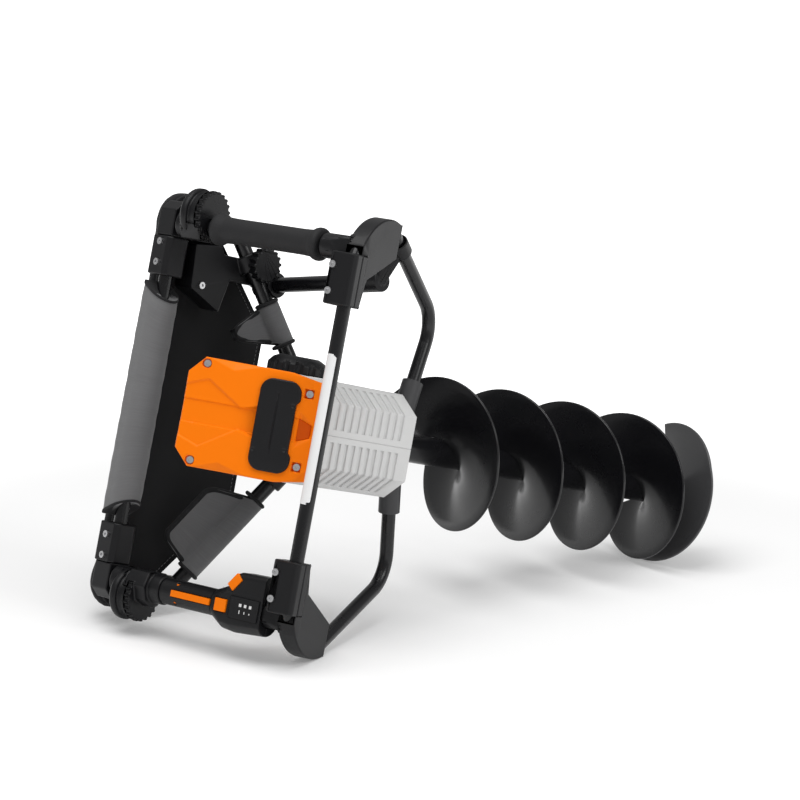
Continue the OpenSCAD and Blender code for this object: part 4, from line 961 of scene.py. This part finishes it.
@dataclass(frozen=True)
class Bit:
    """The drill bit: a smooth flight with a rounded rim, and the flat plate with a bent edge below it."""

    radius: float = 100.0
    inner: float = 19.1
    pitch: float = 122.0
    turns: float = 3.83
    plate_sweep: float = 264.0
    plate_bend: float = 80.0
    plate_dip: float = 20.0
    plate_gap: float = 0.1
    drop: float = 107.0
    phase: float = 52.0
    thick: float = 4.0
    rim_round: float = 1.6
    rim_points: int = 4
    flat_points: int = 8
    flight_rows: int = 300
    plate_rows: int = 70

    def section(self) -> np.ndarray:
        """Outline of the sheet across its run: radius and height, rounded at the rim."""
        half, r = self.thick / 2, self.rim_round
        turn = np.radians(np.linspace(-90, 0, self.rim_points))
        low = np.stack([self.radius - r + r * np.cos(turn), r - half + r * np.sin(turn)], -1)
        high = np.stack([low[::-1, 0], -low[::-1, 1]], -1)
        steps = np.linspace(self.inner, self.radius - r, self.flat_points)
        flat = np.stack([steps, np.full_like(steps, -half)], -1)
        return np.concatenate([flat[:-1], low, high, (flat * [1, -1])[::-1][1:]])

    def sheet(self, name: str, k: np.ndarray, z: np.ndarray, finish: Finish, node: str) -> None:
        """The section carried round the axis: its angle falls by a turn as k grows by one.

        Args:
            name: The piece's name.
            k: Turns run, one for each row.
            z: Heights, one for each row.
            finish: Its finish.
            node: The solid that it stands for.
        """
        section = self.section()
        angle = np.radians(self.phase - 360 * k)[:, None]
        points = np.stack([section[:, 0] * np.cos(angle), section[:, 0] * np.sin(angle),
                           z[:, None] + section[:, 1]], -1)
        sheet = Piece(name).grid(AXES.lay(points), finish, around=True, ends=True)
        sheet.build("drill", replaces=[node])

    def build(self) -> None:
        """Makes the flight, which falls by the pitch in each turn, and the plate below its end."""
        k = np.linspace(0, self.turns, self.flight_rows)
        self.sheet("flight_sheet", k, -self.drop - self.pitch * k, Finish.BIT_BLACK, "bit_flight")
        k = np.linspace(self.turns - self.plate_sweep / 360, self.turns, self.plate_rows)
        bent = np.clip(1 - 360 * (k - k[0]) / self.plate_bend, 0, None)
        z = -self.drop - self.pitch * self.turns - self.thick - self.plate_gap - self.plate_dip * bent
        self.sheet("cutter_sheet", k, z, Finish.BIT_STEEL, "bit_cutter")


@dataclass(frozen=True)
class Stuffing:
    """Swells a solid as cloth under pressure: remeshed, drawn in, blown up, held to a cap and smoothed."""

    voxel: float = 6.0
    shrink: float = 1.5
    pressure: float = 4.0
    last_frame: int = 20
    cap: float = 6.0

    def settled(self, work: bpy.types.Object) -> np.ndarray:
        """Points of an object after its modifiers.

        Args:
            work: The object.

        Returns:
            The points, in metres.
        """
        graph = bpy.context.evaluated_depsgraph_get()
        mesh = work.evaluated_get(graph).to_mesh()
        points = np.empty(3 * len(mesh.vertices))
        mesh.vertices.foreach_get("co", points)
        work.evaluated_get(graph).to_mesh_clear()
        return points.reshape(-1, 3)

    def baked(self, work: bpy.types.Object, kind: str, **settings: Any) -> None:
        """Adds one modifier and applies it to the object's mesh.

        Args:
            work: The object.
            kind: The modifier's type.
            settings: The modifier's properties.
        """
        modifier = work.modifiers.new(kind.lower(), kind)
        for key, value in settings.items():
            setattr(modifier, key, value)
        graph = bpy.context.evaluated_depsgraph_get()
        mesh = bpy.data.meshes.new_from_object(work.evaluated_get(graph))
        work.modifiers.remove(modifier)
        work.data = mesh

    def blown(self, work: bpy.types.Object, start: np.ndarray) -> np.ndarray:
        """Runs the cloth and gives how far each point moved.

        Args:
            work: The object to blow up.
            start: Its points before the run.

        Returns:
            The moves, none longer than the cap.
        """
        cloth = work.modifiers.new("cloth", "CLOTH")
        cloth.settings.use_pressure = True
        cloth.settings.uniform_pressure_force = self.pressure
        cloth.settings.effector_weights.gravity = 0
        cloth.point_cache.frame_end = self.last_frame
        scene = bpy.context.scene
        for number in range(1, self.last_frame + 1):
            scene.frame_set(number)
        moves = self.settled(work) - start
        work.modifiers.remove(cloth)
        scene.frame_set(1)
        length = np.linalg.norm(moves, axis=1, keepdims=True)
        return moves * np.minimum(1, self.cap * MM / np.maximum(length, TINY))

    def fill(self, node: str) -> bpy.types.Mesh:
        """Args:
            node: The solid's name.

        Returns:
            The mesh, with one subdivision.
        """
        work = linked("stuffing", merged_copy(node))
        self.baked(work, "REMESH", mode="VOXEL", voxel_size=self.voxel * MM)
        mesh = work.data
        points = self.settled(work)
        normals = np.empty(points.size)
        mesh.vertex_normals.foreach_get("vector", normals)
        start = points - self.shrink * MM * normals.reshape(-1, 3)
        mesh.vertices.foreach_set("co", start.ravel())
        mesh.update()
        moved = start + self.blown(work, start)
        mesh.vertices.foreach_set("co", moved.ravel())
        mesh.update()
        self.baked(work, "SUBSURF", levels=1, render_levels=1)
        mesh = work.data
        bpy.data.objects.remove(work)
        return mesh


def swept(path: np.ndarray, radius: float, sides: int = 10, closed: bool = False) -> np.ndarray:
    """A tube round a path of machine points, as rows along it and columns round it.

    Args:
        path: The points.
        radius: Radius of the tube.
        sides: Points round it.
        closed: Whether the path ends where it began.

    Returns:
        The tube's points, in machine millimetres.
    """
    ahead = np.roll(path, -1, 0) - np.roll(path, 1, 0)
    if not closed:
        ahead = np.gradient(path, axis=0)
    ahead /= np.linalg.norm(ahead, axis=1, keepdims=True)
    flat = np.cross(ahead, np.linalg.svd(path - path.mean(0))[2][2])
    flat /= np.linalg.norm(flat, axis=1, keepdims=True)
    rise = np.cross(flat, ahead)
    turn = circle(full_turn(sides))
    return path[:, None] + radius * (turn[:, :1] * flat[:, None] + turn[:, 1:] * rise[:, None])


@dataclass(frozen=True)
class HipPad:
    """Stuffed pad with a cloth rim round a felt panel, and the felt on its board with piping and stitches."""

    half: float = 283.0
    top: float = 235.03
    low: float = 22.03
    end_r: float = 42.0
    low_r: float = 40.0
    low_half: float = 105.0
    board_y: float = 195.75
    board_edge: float = 1.2
    rim: float = 15.0
    arc_points: int = 24
    seam_in: float = 11.5
    seam_r: float = 1.5
    seam_out: float = 0.4
    seam_sides: int = 8
    stitch_in: float = 17.0
    stitch: float = 3.2
    stitch_gap: float = 2.2
    stitch_half: float = 0.45
    stitch_deep: tuple[float, float] = (0.2, -0.35)
    fine_points: int = 1200

    def outline(self, inset: float, count: int = 240) -> np.ndarray:
        """Evenly spaced points of the pad's outline, moved in by an inset.

        The right half is the mirrored left one: a lower and an upper arc, joined by their common tangent.

        Args:
            inset: Distance inside the edge.
            count: Number of points.

        Returns:
            The points, x and z.
        """
        low = np.array([self.low_half, self.low + self.low_r])
        high = np.array([self.half - self.end_r, self.top - self.end_r])
        run = high - low
        tilt = math.atan2(run[1], run[0]) - math.acos((self.low_r - self.end_r) / np.linalg.norm(run))
        arcs = []
        for middle, r, a, b in ((low, self.low_r, -math.pi / 2, tilt), (high, self.end_r, tilt, math.pi / 2)):
            arcs.append(middle + (r - inset) * circle(np.linspace(a, b, self.arc_points)))
        left = np.concatenate(arcs)
        return evenly(np.concatenate([left, left[::-1] * [-1, 1], left[:1]]), count)

    def edge_distance(self, points: np.ndarray) -> np.ndarray:
        """Distance of flat points from the nearest point of the outline."""
        ring = self.outline(0)
        return np.sqrt(((points[:, None] - ring[None]) ** 2).sum(-1).min(1))

    def cushion(self) -> None:
        """The stuffed pad, with felt inside its cloth rim."""
        mesh = Stuffing().fill("hip_cushion")
        mesh.materials.clear()
        for finish in (Finish.PAD_FELT, Finish.PAD_SIDE):
            mesh.materials.append(finish.get())
        centres = np.empty(3 * len(mesh.polygons))
        mesh.polygons.foreach_get("center", centres)
        machine = (centres.reshape(-1, 3) - AXES.origin) @ AXES.basis.T / MM
        at_rim = self.edge_distance(machine[:, [0, 2]]) < self.rim
        mesh.polygons.foreach_set("material_index", at_rim.astype(np.int32))
        piece = set_piece("stuffed_pad", mesh, "machine", SLOT_OF["hip_cushion"], ["hip_cushion"], sharp=60)

    def deep(self, flat: np.ndarray, out: float) -> np.ndarray:
        """Flat points set at a distance behind the board's face."""
        return np.stack([flat[:, 0], np.full(len(flat), self.board_y + out), flat[:, 1]], -1)

    def piping(self) -> None:
        """Piping round the board's panel: a tube along the outline."""
        path = self.deep(self.outline(self.seam_in), self.seam_out)
        tube = swept(path, self.seam_r, self.seam_sides, closed=True)
        piping = Piece("pad_piping").grid(AXES.lay(tube), Finish.BINDING, around=True, loop=True)
        piping.build(slot="fabric_black")

    def stitches(self) -> None:
        """A line of stitches inside the piping: small blocks at even steps, each turned along the outline."""
        ring = self.outline(self.stitch_in, self.fine_points)
        run = np.linalg.norm(np.diff(np.concatenate([ring, ring[:1]]), axis=0), axis=1).sum()
        middles = self.outline(self.stitch_in, int(run / (self.stitch + self.stitch_gap)))
        ahead = np.roll(middles, -1, 0) - np.roll(middles, 1, 0)
        ahead /= np.linalg.norm(ahead, axis=1, keepdims=True)
        along, beside = self.stitch / 2 * ahead, self.stitch_half * ahead[:, ::-1] * [1, -1]
        corners = np.stack([middles - along - beside, middles - along + beside,
                            middles + along + beside, middles + along - beside], 1)
        stitches = Piece("pad_stitches")
        for quad in corners:
            rows = np.stack([self.deep(quad, out) for out in self.stitch_deep])
            stitches.grid(AXES.lay(rows), Finish.FABRIC_GREY, around=True, ends=True)
        stitches.build(slot="fabric_grey")

    def build(self) -> None:
        """Makes the pad, its board's cloth and its seams."""
        self.cushion()
        softened("pad_board", Finish.PAD_FELT, self.board_edge)
        self.piping()
        self.stitches()


@dataclass(frozen=True)
class Sleeve:
    """Padded grey sleeve on the rear tube, bound at both slanted ends."""

    tube_y: float = 178.05
    tube_z: float = 226.03
    radius: float = 21.5
    back_y: float = 195.4
    half: float = 153.0
    slant: float = 29.0
    bore: float = 9.1
    corner_r: float = 5.0
    front_points: int = 40
    corner_points: int = 16
    points_round: int = 64
    rows_along: int = 90
    crown: float = 0.7
    pucker: float = 0.35
    pucker_waves: tuple[float, float] = (9.3, 31.0)
    bind: float = 3.6
    bind_lift: float = 0.5
    bind_past: float = 1.002
    bind_edge: float = 0.35
    bind_rows: int = 7

    def section(self, grow: float) -> np.ndarray:
        """Outline of the sleeve across the tube: round in front, square with soft corners at the pad.

        Args:
            grow: Distance outside the outline.

        Returns:
            The points, y and z.
        """
        r, soft = self.radius + grow, self.corner_r
        turn = np.linspace(np.pi / 2, 3 * np.pi / 2, self.front_points)
        front = [self.tube_y, self.tube_z] + r * circle(turn)
        low, high = np.split(soft * circle(np.linspace(-np.pi / 2, np.pi / 2, self.corner_points)), 2)
        low = [self.back_y - soft, self.tube_z - r + soft] + low
        high = [self.back_y - soft, self.tube_z + r - soft] + high
        return evenly(np.concatenate([front, low, high, front[:1]]), self.points_round)

    def reach(self, section: np.ndarray) -> np.ndarray:
        """How far each point of a section lies along the tube at the sleeve's ends."""
        return self.half + (section[:, 0] - self.back_y) * math.tan(math.radians(self.slant))

    def rows(self, share: np.ndarray, grow: np.ndarray) -> np.ndarray:
        """Sections along the sleeve, each grown by its own distance.

        Args:
            share: Shares of the way along, from -1 to 1.
            grow: The distances.

        Returns:
            The points, one row for each share.
        """
        rings = []
        for part, more in zip(share, grow):
            section = self.section(more)
            rings.append(np.stack([part * self.reach(section), section[:, 0], section[:, 1]], -1))
        return np.stack(rings)

    def holed(self, rows: np.ndarray) -> np.ndarray:
        """Adds a ring at the tube to both ends, so that the rows close round the tube.

        Args:
            rows: The outer rows.

        Returns:
            The rows between the two rings.
        """
        middle = np.array([self.tube_y, self.tube_z])
        ends = []
        for row in (rows[0], rows[-1]):
            out = row[:, 1:] - middle
            inner = middle + self.bore * out / np.linalg.norm(out, axis=1, keepdims=True)
            ends.append(np.concatenate([row[:, :1], inner], 1))
        return np.concatenate([ends[0][None], rows, ends[1][None]])

    def build(self) -> None:
        """Makes the sleeve with soft puckers, a product of two sines, and the bindings over its ends."""
        share = np.linspace(-1, 1, self.rows_along)
        slow, fast = self.pucker_waves
        pucker = self.pucker * np.sin(slow * share) * np.sin(fast * share)
        grow = self.crown * (1 - np.abs(share) ** 6) - self.crown + pucker
        body = AXES.lay(self.holed(self.rows(share, grow)))
        sleeve = Piece("padded_sleeve").grid(body, Finish.FABRIC_GREY, around=True, loop=True).build(
            slot="fabric_grey", replaces=["rear_sleeve"], sharp=50)
        bands = Piece("sleeve_binding")
        swell = self.bind_lift * np.sin(np.linspace(self.bind_edge, np.pi - self.bind_edge, self.bind_rows))
        for side in (-1, 1):
            share = side * np.linspace(1 - self.bind / self.half, self.bind_past, self.bind_rows)
            bands.grid(AXES.lay(self.holed(self.rows(share, swell))), Finish.BINDING, around=True, loop=True)
        bands.build(slot="fabric_black", sharp=60)


@dataclass(frozen=True)
class Rear:
    """Hubs, clamps and the sleeve on the rear tube."""

    edge: float = 2.0

    def build(self) -> None:
        """Rounds the solids and makes the sleeve."""
        for side in SIDES:
            softened("rear_hub_" + side, Finish.PLASTIC_BLACK, self.edge)
            softened("rear_clamp_" + side, Finish.PLASTIC_BLACK, self.edge)
        Sleeve().build()


@dataclass(frozen=True)
class Handles:
    """Foam grip on the left, control handle with its bare lamps and bars on the right."""

    handle_x: float = 232.0
    handle_y: float = -88.0
    handle_z: float = 177.0
    handle_turn: float = -78.0
    foam_z: tuple[float, float] = (24.0, 194.0)
    foam_r: float = 17.0
    foam_bore: float = 11.1
    foam_steps: tuple[float, ...] = (0.0, 0.6, 2.0, 4.0, 7.0, 10.0, 13.0, 16.0, 20.0)
    foam_plain: float = 26.0
    foam_rows: int = 20
    foam_round: int = 64
    foam_end: float = 4.0
    collar: float = 4.0
    collar_l: float = 14.0
    collar_fade: float = 0.7
    waist: float = 0.6
    waist_run: float = 20.0
    edge: float = 1.2
    panel_y: float = -19.25
    mark_deep: tuple[float, float] = (0.1, -0.25)
    lamp_x: float = 5.0
    lamp_half: float = 1.9
    lamp_z: tuple[float, ...] = (18.8, 26.8, 34.7)
    bar_x: float = -3.5
    bar_half: tuple[float, float] = (1.0, 0.6)
    bar_more: float = 0.6

    def place(self, side: str) -> Place:
        """Where a handle lies: x to the user's left, y down, z to the rear."""
        return Place.tilted((SIDES[side] * self.handle_x, self.handle_y, self.handle_z), self.handle_turn)

    def foam(self) -> None:
        """The grip as a lathed form, with a rounded collar at each end and a slight waist."""
        z0, z1 = self.foam_z
        steps = np.array(self.foam_steps)
        plain = np.linspace(z0 + self.foam_plain, z1 - self.foam_plain, self.foam_rows)
        z = np.concatenate([[z0], z0 + steps, plain, z1 - steps[::-1], [z1]])
        near = np.minimum(z - z0, z1 - z)
        r = self.foam_r + self.collar * (1 - step(near - self.collar_l / 2, self.collar_l * self.collar_fade))
        r = r - self.waist * step(near - self.collar_l, self.waist_run)
        r = r - rounded(near, self.foam_end)
        r[[0, -1]] = self.foam_bore
        angle = full_turn(self.foam_round)
        points = np.stack([r[:, None] * np.cos(angle), r[:, None] * np.sin(angle),
                           np.broadcast_to(z[:, None], (len(z), self.foam_round))], -1)
        grip = Piece("lathed_grip").grid(self.place("left").lay(points), Finish.FOAM_BLACK, around=True,
                                         loop=True).build(slot="foam_black", replaces=["foam_grip"], sharp=60)

    def marks(self) -> None:
        """Three square lamps in a row, and a plain bar beside each, longer from one to the next."""
        place = self.place("right")
        marks = Piece("panel_marks")
        first, bar_z = self.bar_half
        for number, z in enumerate(self.lamp_z):
            lamp = (self.lamp_x, self.lamp_half, self.lamp_half)
            bar = (self.bar_x, first + self.bar_more * number, bar_z)
            for x, half_x, half_z in (lamp, bar):
                flat = np.array([[-half_x, -half_z], [half_x, -half_z], [half_x, half_z], [-half_x, half_z]])
                rows = [np.stack([x + flat[:, 0], np.full(4, self.panel_y + out), z + flat[:, 1]], -1)
                        for out in self.mark_deep]
                marks.grid(place.lay(np.stack(rows)), Finish.MARK_WHITE, around=True, ends=True)
        marks.build(slot="plastic_grey")

    def build(self) -> None:
        """Makes the grip, rounds the control handle's solids and sets its marks."""
        self.foam()
        for node in ("control_shell_upper", "control_shell_lower", "trigger", "indicator_panel"):
            softened(node, Finish.PLASTIC_BLACK, self.edge)
        for node in ("palm_lever", "mode_button", "lock_slider"):
            softened(node, Finish.PLASTIC_ORANGE, self.edge, held=True)
        self.marks()


@dataclass(frozen=True)
class Wrap:
    """Padded flap sewn round a strut, with a bound edge."""

    side: str
    length: float
    tail_out: float
    inner_end: Triple = (60.0, 106.0, 33.0)
    outer_end: Triple = (236.0, 171.05, 128.03)
    start: float = 52.0
    tail_in: float = 30.0
    tail: float = 58.0
    rise: float = 62.0
    radius: float = 14.8
    half_t: float = 4.5
    neck: float = 3.0
    thin: float = 0.82
    plump: float = 0.18
    plump_turn: float = 1.5
    end_in: float = 0.14
    corner: float = 13.0
    ring_points: int = 30
    flat_points: int = 14
    tip_points: int = 7
    rows_along: int = 40
    bind_r: float = 4.4
    bind_share: float = 0.6
    bind_points: int = 30
    bind_rows: int = 90
    hoop_r: float = 2.6
    hoop_in: float = 1.0
    hoop_points: int = 32
    hoop_sides: int = 8

    @property
    def place(self) -> Place:
        """Where the flap lies: z along the strut, x out along the tail."""
        low, high = (np.array(end) * [SIDES[self.side], 1, 1] for end in (self.inner_end, self.outer_end))
        along = (high - low) / np.linalg.norm(high - low)
        lean = math.radians(self.rise)
        return Place.along(low + self.start * along, along, (0, math.cos(lean), math.sin(lean)))

    def ends(self, t: np.ndarray) -> tuple[np.ndarray, np.ndarray]:
        """Where the flap begins and ends along the strut: straight slants with a round corner at the tail.

        Args:
            t: Distances out along the tail.

        Returns:
            The beginnings and the ends.
        """
        share = np.clip(t / self.tail, 0, 1)
        near = np.clip(t - (self.tail - self.corner), 0, self.corner)
        drawn = self.corner - np.sqrt(np.clip(self.corner**2 - near**2, 0, None))
        return self.tail_in * share + drawn, self.length - self.tail_out * share - drawn

    def section(self) -> np.ndarray:
        """Outline across the strut: round about it, then thin and rounded at the tail's end."""
        join = math.asin(self.half_t / self.radius)
        ring = self.radius * circle(np.linspace(join, 2 * np.pi - join, self.ring_points))
        begin = self.radius * math.cos(join) + self.neck
        flat = np.linspace(begin, self.tail - self.half_t, self.flat_points)
        swell = np.cos(np.linspace(-self.plump_turn, self.plump_turn, self.flat_points))
        thick = self.half_t * (self.thin + self.plump * swell)
        tip = np.linspace(-np.pi / 2, np.pi / 2, self.tip_points)[1:-1]
        cap = [self.tail - self.half_t, 0] + self.half_t * self.thin * circle(tip)
        return np.concatenate([ring, np.stack([flat, -thick], -1), cap, np.stack([flat, thick], -1)[::-1]])

    def flap(self) -> None:
        """The flap: its section carried from end to end, a little thinner there."""
        section = self.section()
        low, high = self.ends(section[:, 0])
        share = np.linspace(0, 1, self.rows_along)[:, None]
        full = 1 - self.end_in * np.abs(2 * share - 1) ** 5
        out = np.broadcast_to(section[:, 0], (self.rows_along, len(section)))
        points = self.place.lay(np.stack([out, full * section[:, 1], low + (high - low) * share], -1))
        form = Piece("padded_wrap_" + self.side).grid(points, Finish.FABRIC_DARK_GREY, around=True, ends=True)
        flap = form.build(slot="fabric_dark_grey", replaces=["strut_wrap_" + self.side], sharp=60)

    def binding(self) -> None:
        """The bound edge: a tube along both ends and the tail, and a hoop round the strut at each end."""
        place = self.place
        out = np.linspace(0, self.tail, self.bind_points)
        low, high = self.ends(out)
        inset = self.bind_r * self.bind_share
        out = np.minimum(out, self.tail - inset)
        zero = np.zeros(self.bind_points)
        first = np.stack([out, zero, low + inset], -1)
        last = np.stack([out, zero, high - inset], -1)
        path = evenly(np.concatenate([first, last[::-1]]), self.bind_rows, endpoint=True)
        binding = Piece("wrap_binding_" + self.side)
        binding.grid(place.lay(swept(path, self.bind_r)), Finish.BINDING, around=True, ends=True)
        turn = (self.radius - self.hoop_in) * circle(full_turn(self.hoop_points))
        for at_z in (0.0, self.length):
            hoop = np.concatenate([turn, np.full((self.hoop_points, 1), at_z)], 1)
            tube = swept(hoop, self.hoop_r, self.hoop_sides, closed=True)
            binding.grid(place.lay(tube), Finish.BINDING, around=True, loop=True)
        binding.build(slot="fabric_black", sharp=60)

    def build(self) -> None:
        """Makes the flap and its bound edge."""
        self.flap()
        self.binding()


@dataclass(frozen=True)
class Stay:
    """Stay on the left, the struts' yoke and their padded wraps."""

    edge: float = 2.0
    wraps: tuple[Wrap, ...] = (Wrap("left", length=58.0, tail_out=14.0),
                               Wrap("right", length=128.0, tail_out=12.0))

    def build(self) -> None:
        """Rounds the solids and makes the wraps."""
        for node in ("stay_block", "stay_knob", "stay_bracket", "strut_yoke"):
            softened(node, Finish.PLASTIC_BLACK, self.edge)
        for wrap in self.wraps:
            wrap.build()


@dataclass(frozen=True)
class Power:
    """Battery, dock and latch behind the shell."""

    edge: float = 1.6

    def build(self) -> None:
        """Rounds the solids."""
        softened("battery_dock", Finish.PLASTIC_BLACK, self.edge)
        softened("battery", Finish.PLASTIC_BLACK, self.edge, held=True)
        softened("battery_latch", Finish.PLASTIC_ORANGE, self.edge)


@dataclass(frozen=True)
class Lamp:
    """A square soft lamp, in row metres and watts."""

    name: str
    eye: Triple
    size: float
    power: float

    def build(self, aim: np.ndarray) -> None:
        """Sets the lamp up so that it faces a point.

        Args:
            aim: The point, in row metres.
        """
        data = bpy.data.lights.new(self.name, "AREA")
        data.size = self.size
        data.energy = self.power
        lamp = linked(self.name, data)
        lamp.location = self.eye
        lamp.rotation_euler = (Vector(aim) - Vector(self.eye)).to_track_quat("-Z", "Y").to_euler()


@dataclass(frozen=True)
class Studio:
    """Pale floor, soft lamps and the camera at the photograph's viewing angle."""

    eye: Triple = (55.97, -3070.32, 2791.36)
    away: Triple = (0.00173, 0.73313, -0.68009)
    right: Triple = (0.16805, -0.67063, -0.7225)
    depth: float = 4200.0
    roll: float = 0.8
    shift: tuple[float, float] = (-0.0031, -0.0028)
    lens: float = 144.0
    sensor: float = 36.0
    sight_end: float = 100.0
    floor_half: float = 14.0
    floor_tone: float = 0.82
    fade: tuple[float, float] = (0.7, 1.7)
    lift: float = 0.19
    world_tone: float = 0.42
    lamps: tuple[Lamp, ...] = (Lamp("overhead", (-0.9, -0.2, 3.2), size=2.4, power=66.0),
                               Lamp("front", (0.6, -3.4, 2.6), size=1.8, power=44.0))

    @property
    def aim(self) -> np.ndarray:
        """The row point that the camera and the lamps look at."""
        return AXES.lay(np.array(self.eye) + self.depth * np.array(self.away))

    def camera(self) -> None:
        """Looks along the photograph's line of sight, which is fixed to the machine, with a small roll."""
        data = bpy.data.cameras.new("camera")
        data.lens = self.lens
        data.sensor_width = self.sensor
        data.shift_x, data.shift_y = self.shift
        data.clip_end = self.sight_end
        camera = linked("camera", data)
        camera.location = AXES.lay(self.eye)
        sight = Vector(AXES.turn(self.away)).normalized()
        side = Vector(AXES.turn(self.right))
        side = (side - side.dot(sight) * sight).normalized()
        turn = Matrix((side, side.cross(sight), -sight)).transposed()
        camera.rotation_euler = (turn @ Matrix.Rotation(math.radians(self.roll), 3, "Z")).to_euler()
        bpy.context.scene.camera = camera

    def floor(self) -> None:
        """A wide floor that keeps the machine's shadow and fades into the white round it."""
        corners = self.floor_half * np.array([[-1, -1, 0], [1, -1, 0], [1, 1, 0], [-1, 1, 0]])
        mesh = bpy.data.meshes.new("floor")
        mesh.from_pydata(corners.tolist(), [], [range(len(corners))])
        g = Graph("floor_pale")
        seen = g.node("ShaderNodeLightPath", out="Is Camera Ray")
        for kind in ("Glossy", "Transmission"):
            seen = seen.math("MAXIMUM", g.node("ShaderNodeLightPath", out=f"Is {kind} Ray"))
        far = g.node("ShaderNodeVectorMath", {"operation": "LENGTH"}, {0: g.coords()}, out="Value")
        mesh.materials.append(g.dress(
            Base_Color=g.shades((self.floor_tone,) * 3, g.noise(g.coords(), scale=2, detail=2), 0.01),
            Emission_Color=g.mix(seen * far.ramp(*self.fade), rgba((self.lift,) * 3), rgba((1.0,) * 3)),
            Emission_Strength=1.0,
            Roughness=0.9,
            Specular_IOR_Level=0.1,
        ))
        floor = linked("floor", mesh)

    def light(self) -> None:
        """An even sky that is white where it is seen, a wide lamp overhead and a weaker one in front."""
        world = bpy.data.worlds.new("studio")
        bpy.context.scene.world = world
        world.use_nodes = True
        tree = world.node_tree
        shade = tree.nodes["Background"]
        path = tree.nodes.new("ShaderNodeLightPath")
        seen = tree.nodes.new("ShaderNodeMath")
        seen.operation = "MAXIMUM"
        tree.links.new(path.outputs["Is Camera Ray"], seen.inputs[0])
        tree.links.new(path.outputs["Is Transmission Ray"], seen.inputs[1])
        tone = tree.nodes.new("ShaderNodeMapRange")
        tone.inputs["To Min"].default_value = self.world_tone
        tone.inputs["To Max"].default_value = 1.0
        tree.links.new(seen.outputs[0], tone.inputs["Value"])
        tree.links.new(tone.outputs[0], shade.inputs["Strength"])
        shade.inputs["Color"].default_value = rgba((1.0,) * 3)
        for lamp in self.lamps:
            lamp.build(self.aim)
        bpy.context.scene.view_settings.view_transform = "Standard"

    def build(self) -> None:
        """Sets up camera, floor and lamps."""
        self.camera()
        self.floor()
        self.light()


KEPT = {
    Finish.TUBE_BLACK: ("frame_tube", "handle_tube_left", "handle_core_right", "rear_tube", "strut_left",
                        "strut_right", "stay_bar"),
    Finish.PLASTIC_BLACK: ("switch_block", "stay_boot"),
    Finish.STEEL: ("spindle", "output_gear", "spindle_bearings", "countershaft", "bit_pin", "rear_screws",
                   "bracket_screws", "cover_screws"),
    Finish.MOTOR_IRON: ("motor_rotor", "motor_stator"),
    Finish.CAST_DARK: ("gear_case", "gear_lid"),
    Finish.CIRCUIT: ("motor_board",),
    Finish.BIT_BLACK: ("bit_tube",),
    Finish.BIT_STEEL: ("bit_point",),
}


def main() -> None:
    """Builds the studio, gives the kept solids their finishes and builds the sub-assemblies in order."""
    logging.basicConfig(level=logging.INFO, format="%(name)s %(message)s")
    Studio().build()
    for finish, nodes in KEPT.items():
        for node in nodes:
            finished(node, finish)
    for assembly in (FrontFrame, FrontCover, MotorShell, Bit, HipPad, Rear, Handles, Stay, Power):
        assembly().build()


if __name__ == "__main__":
    main()
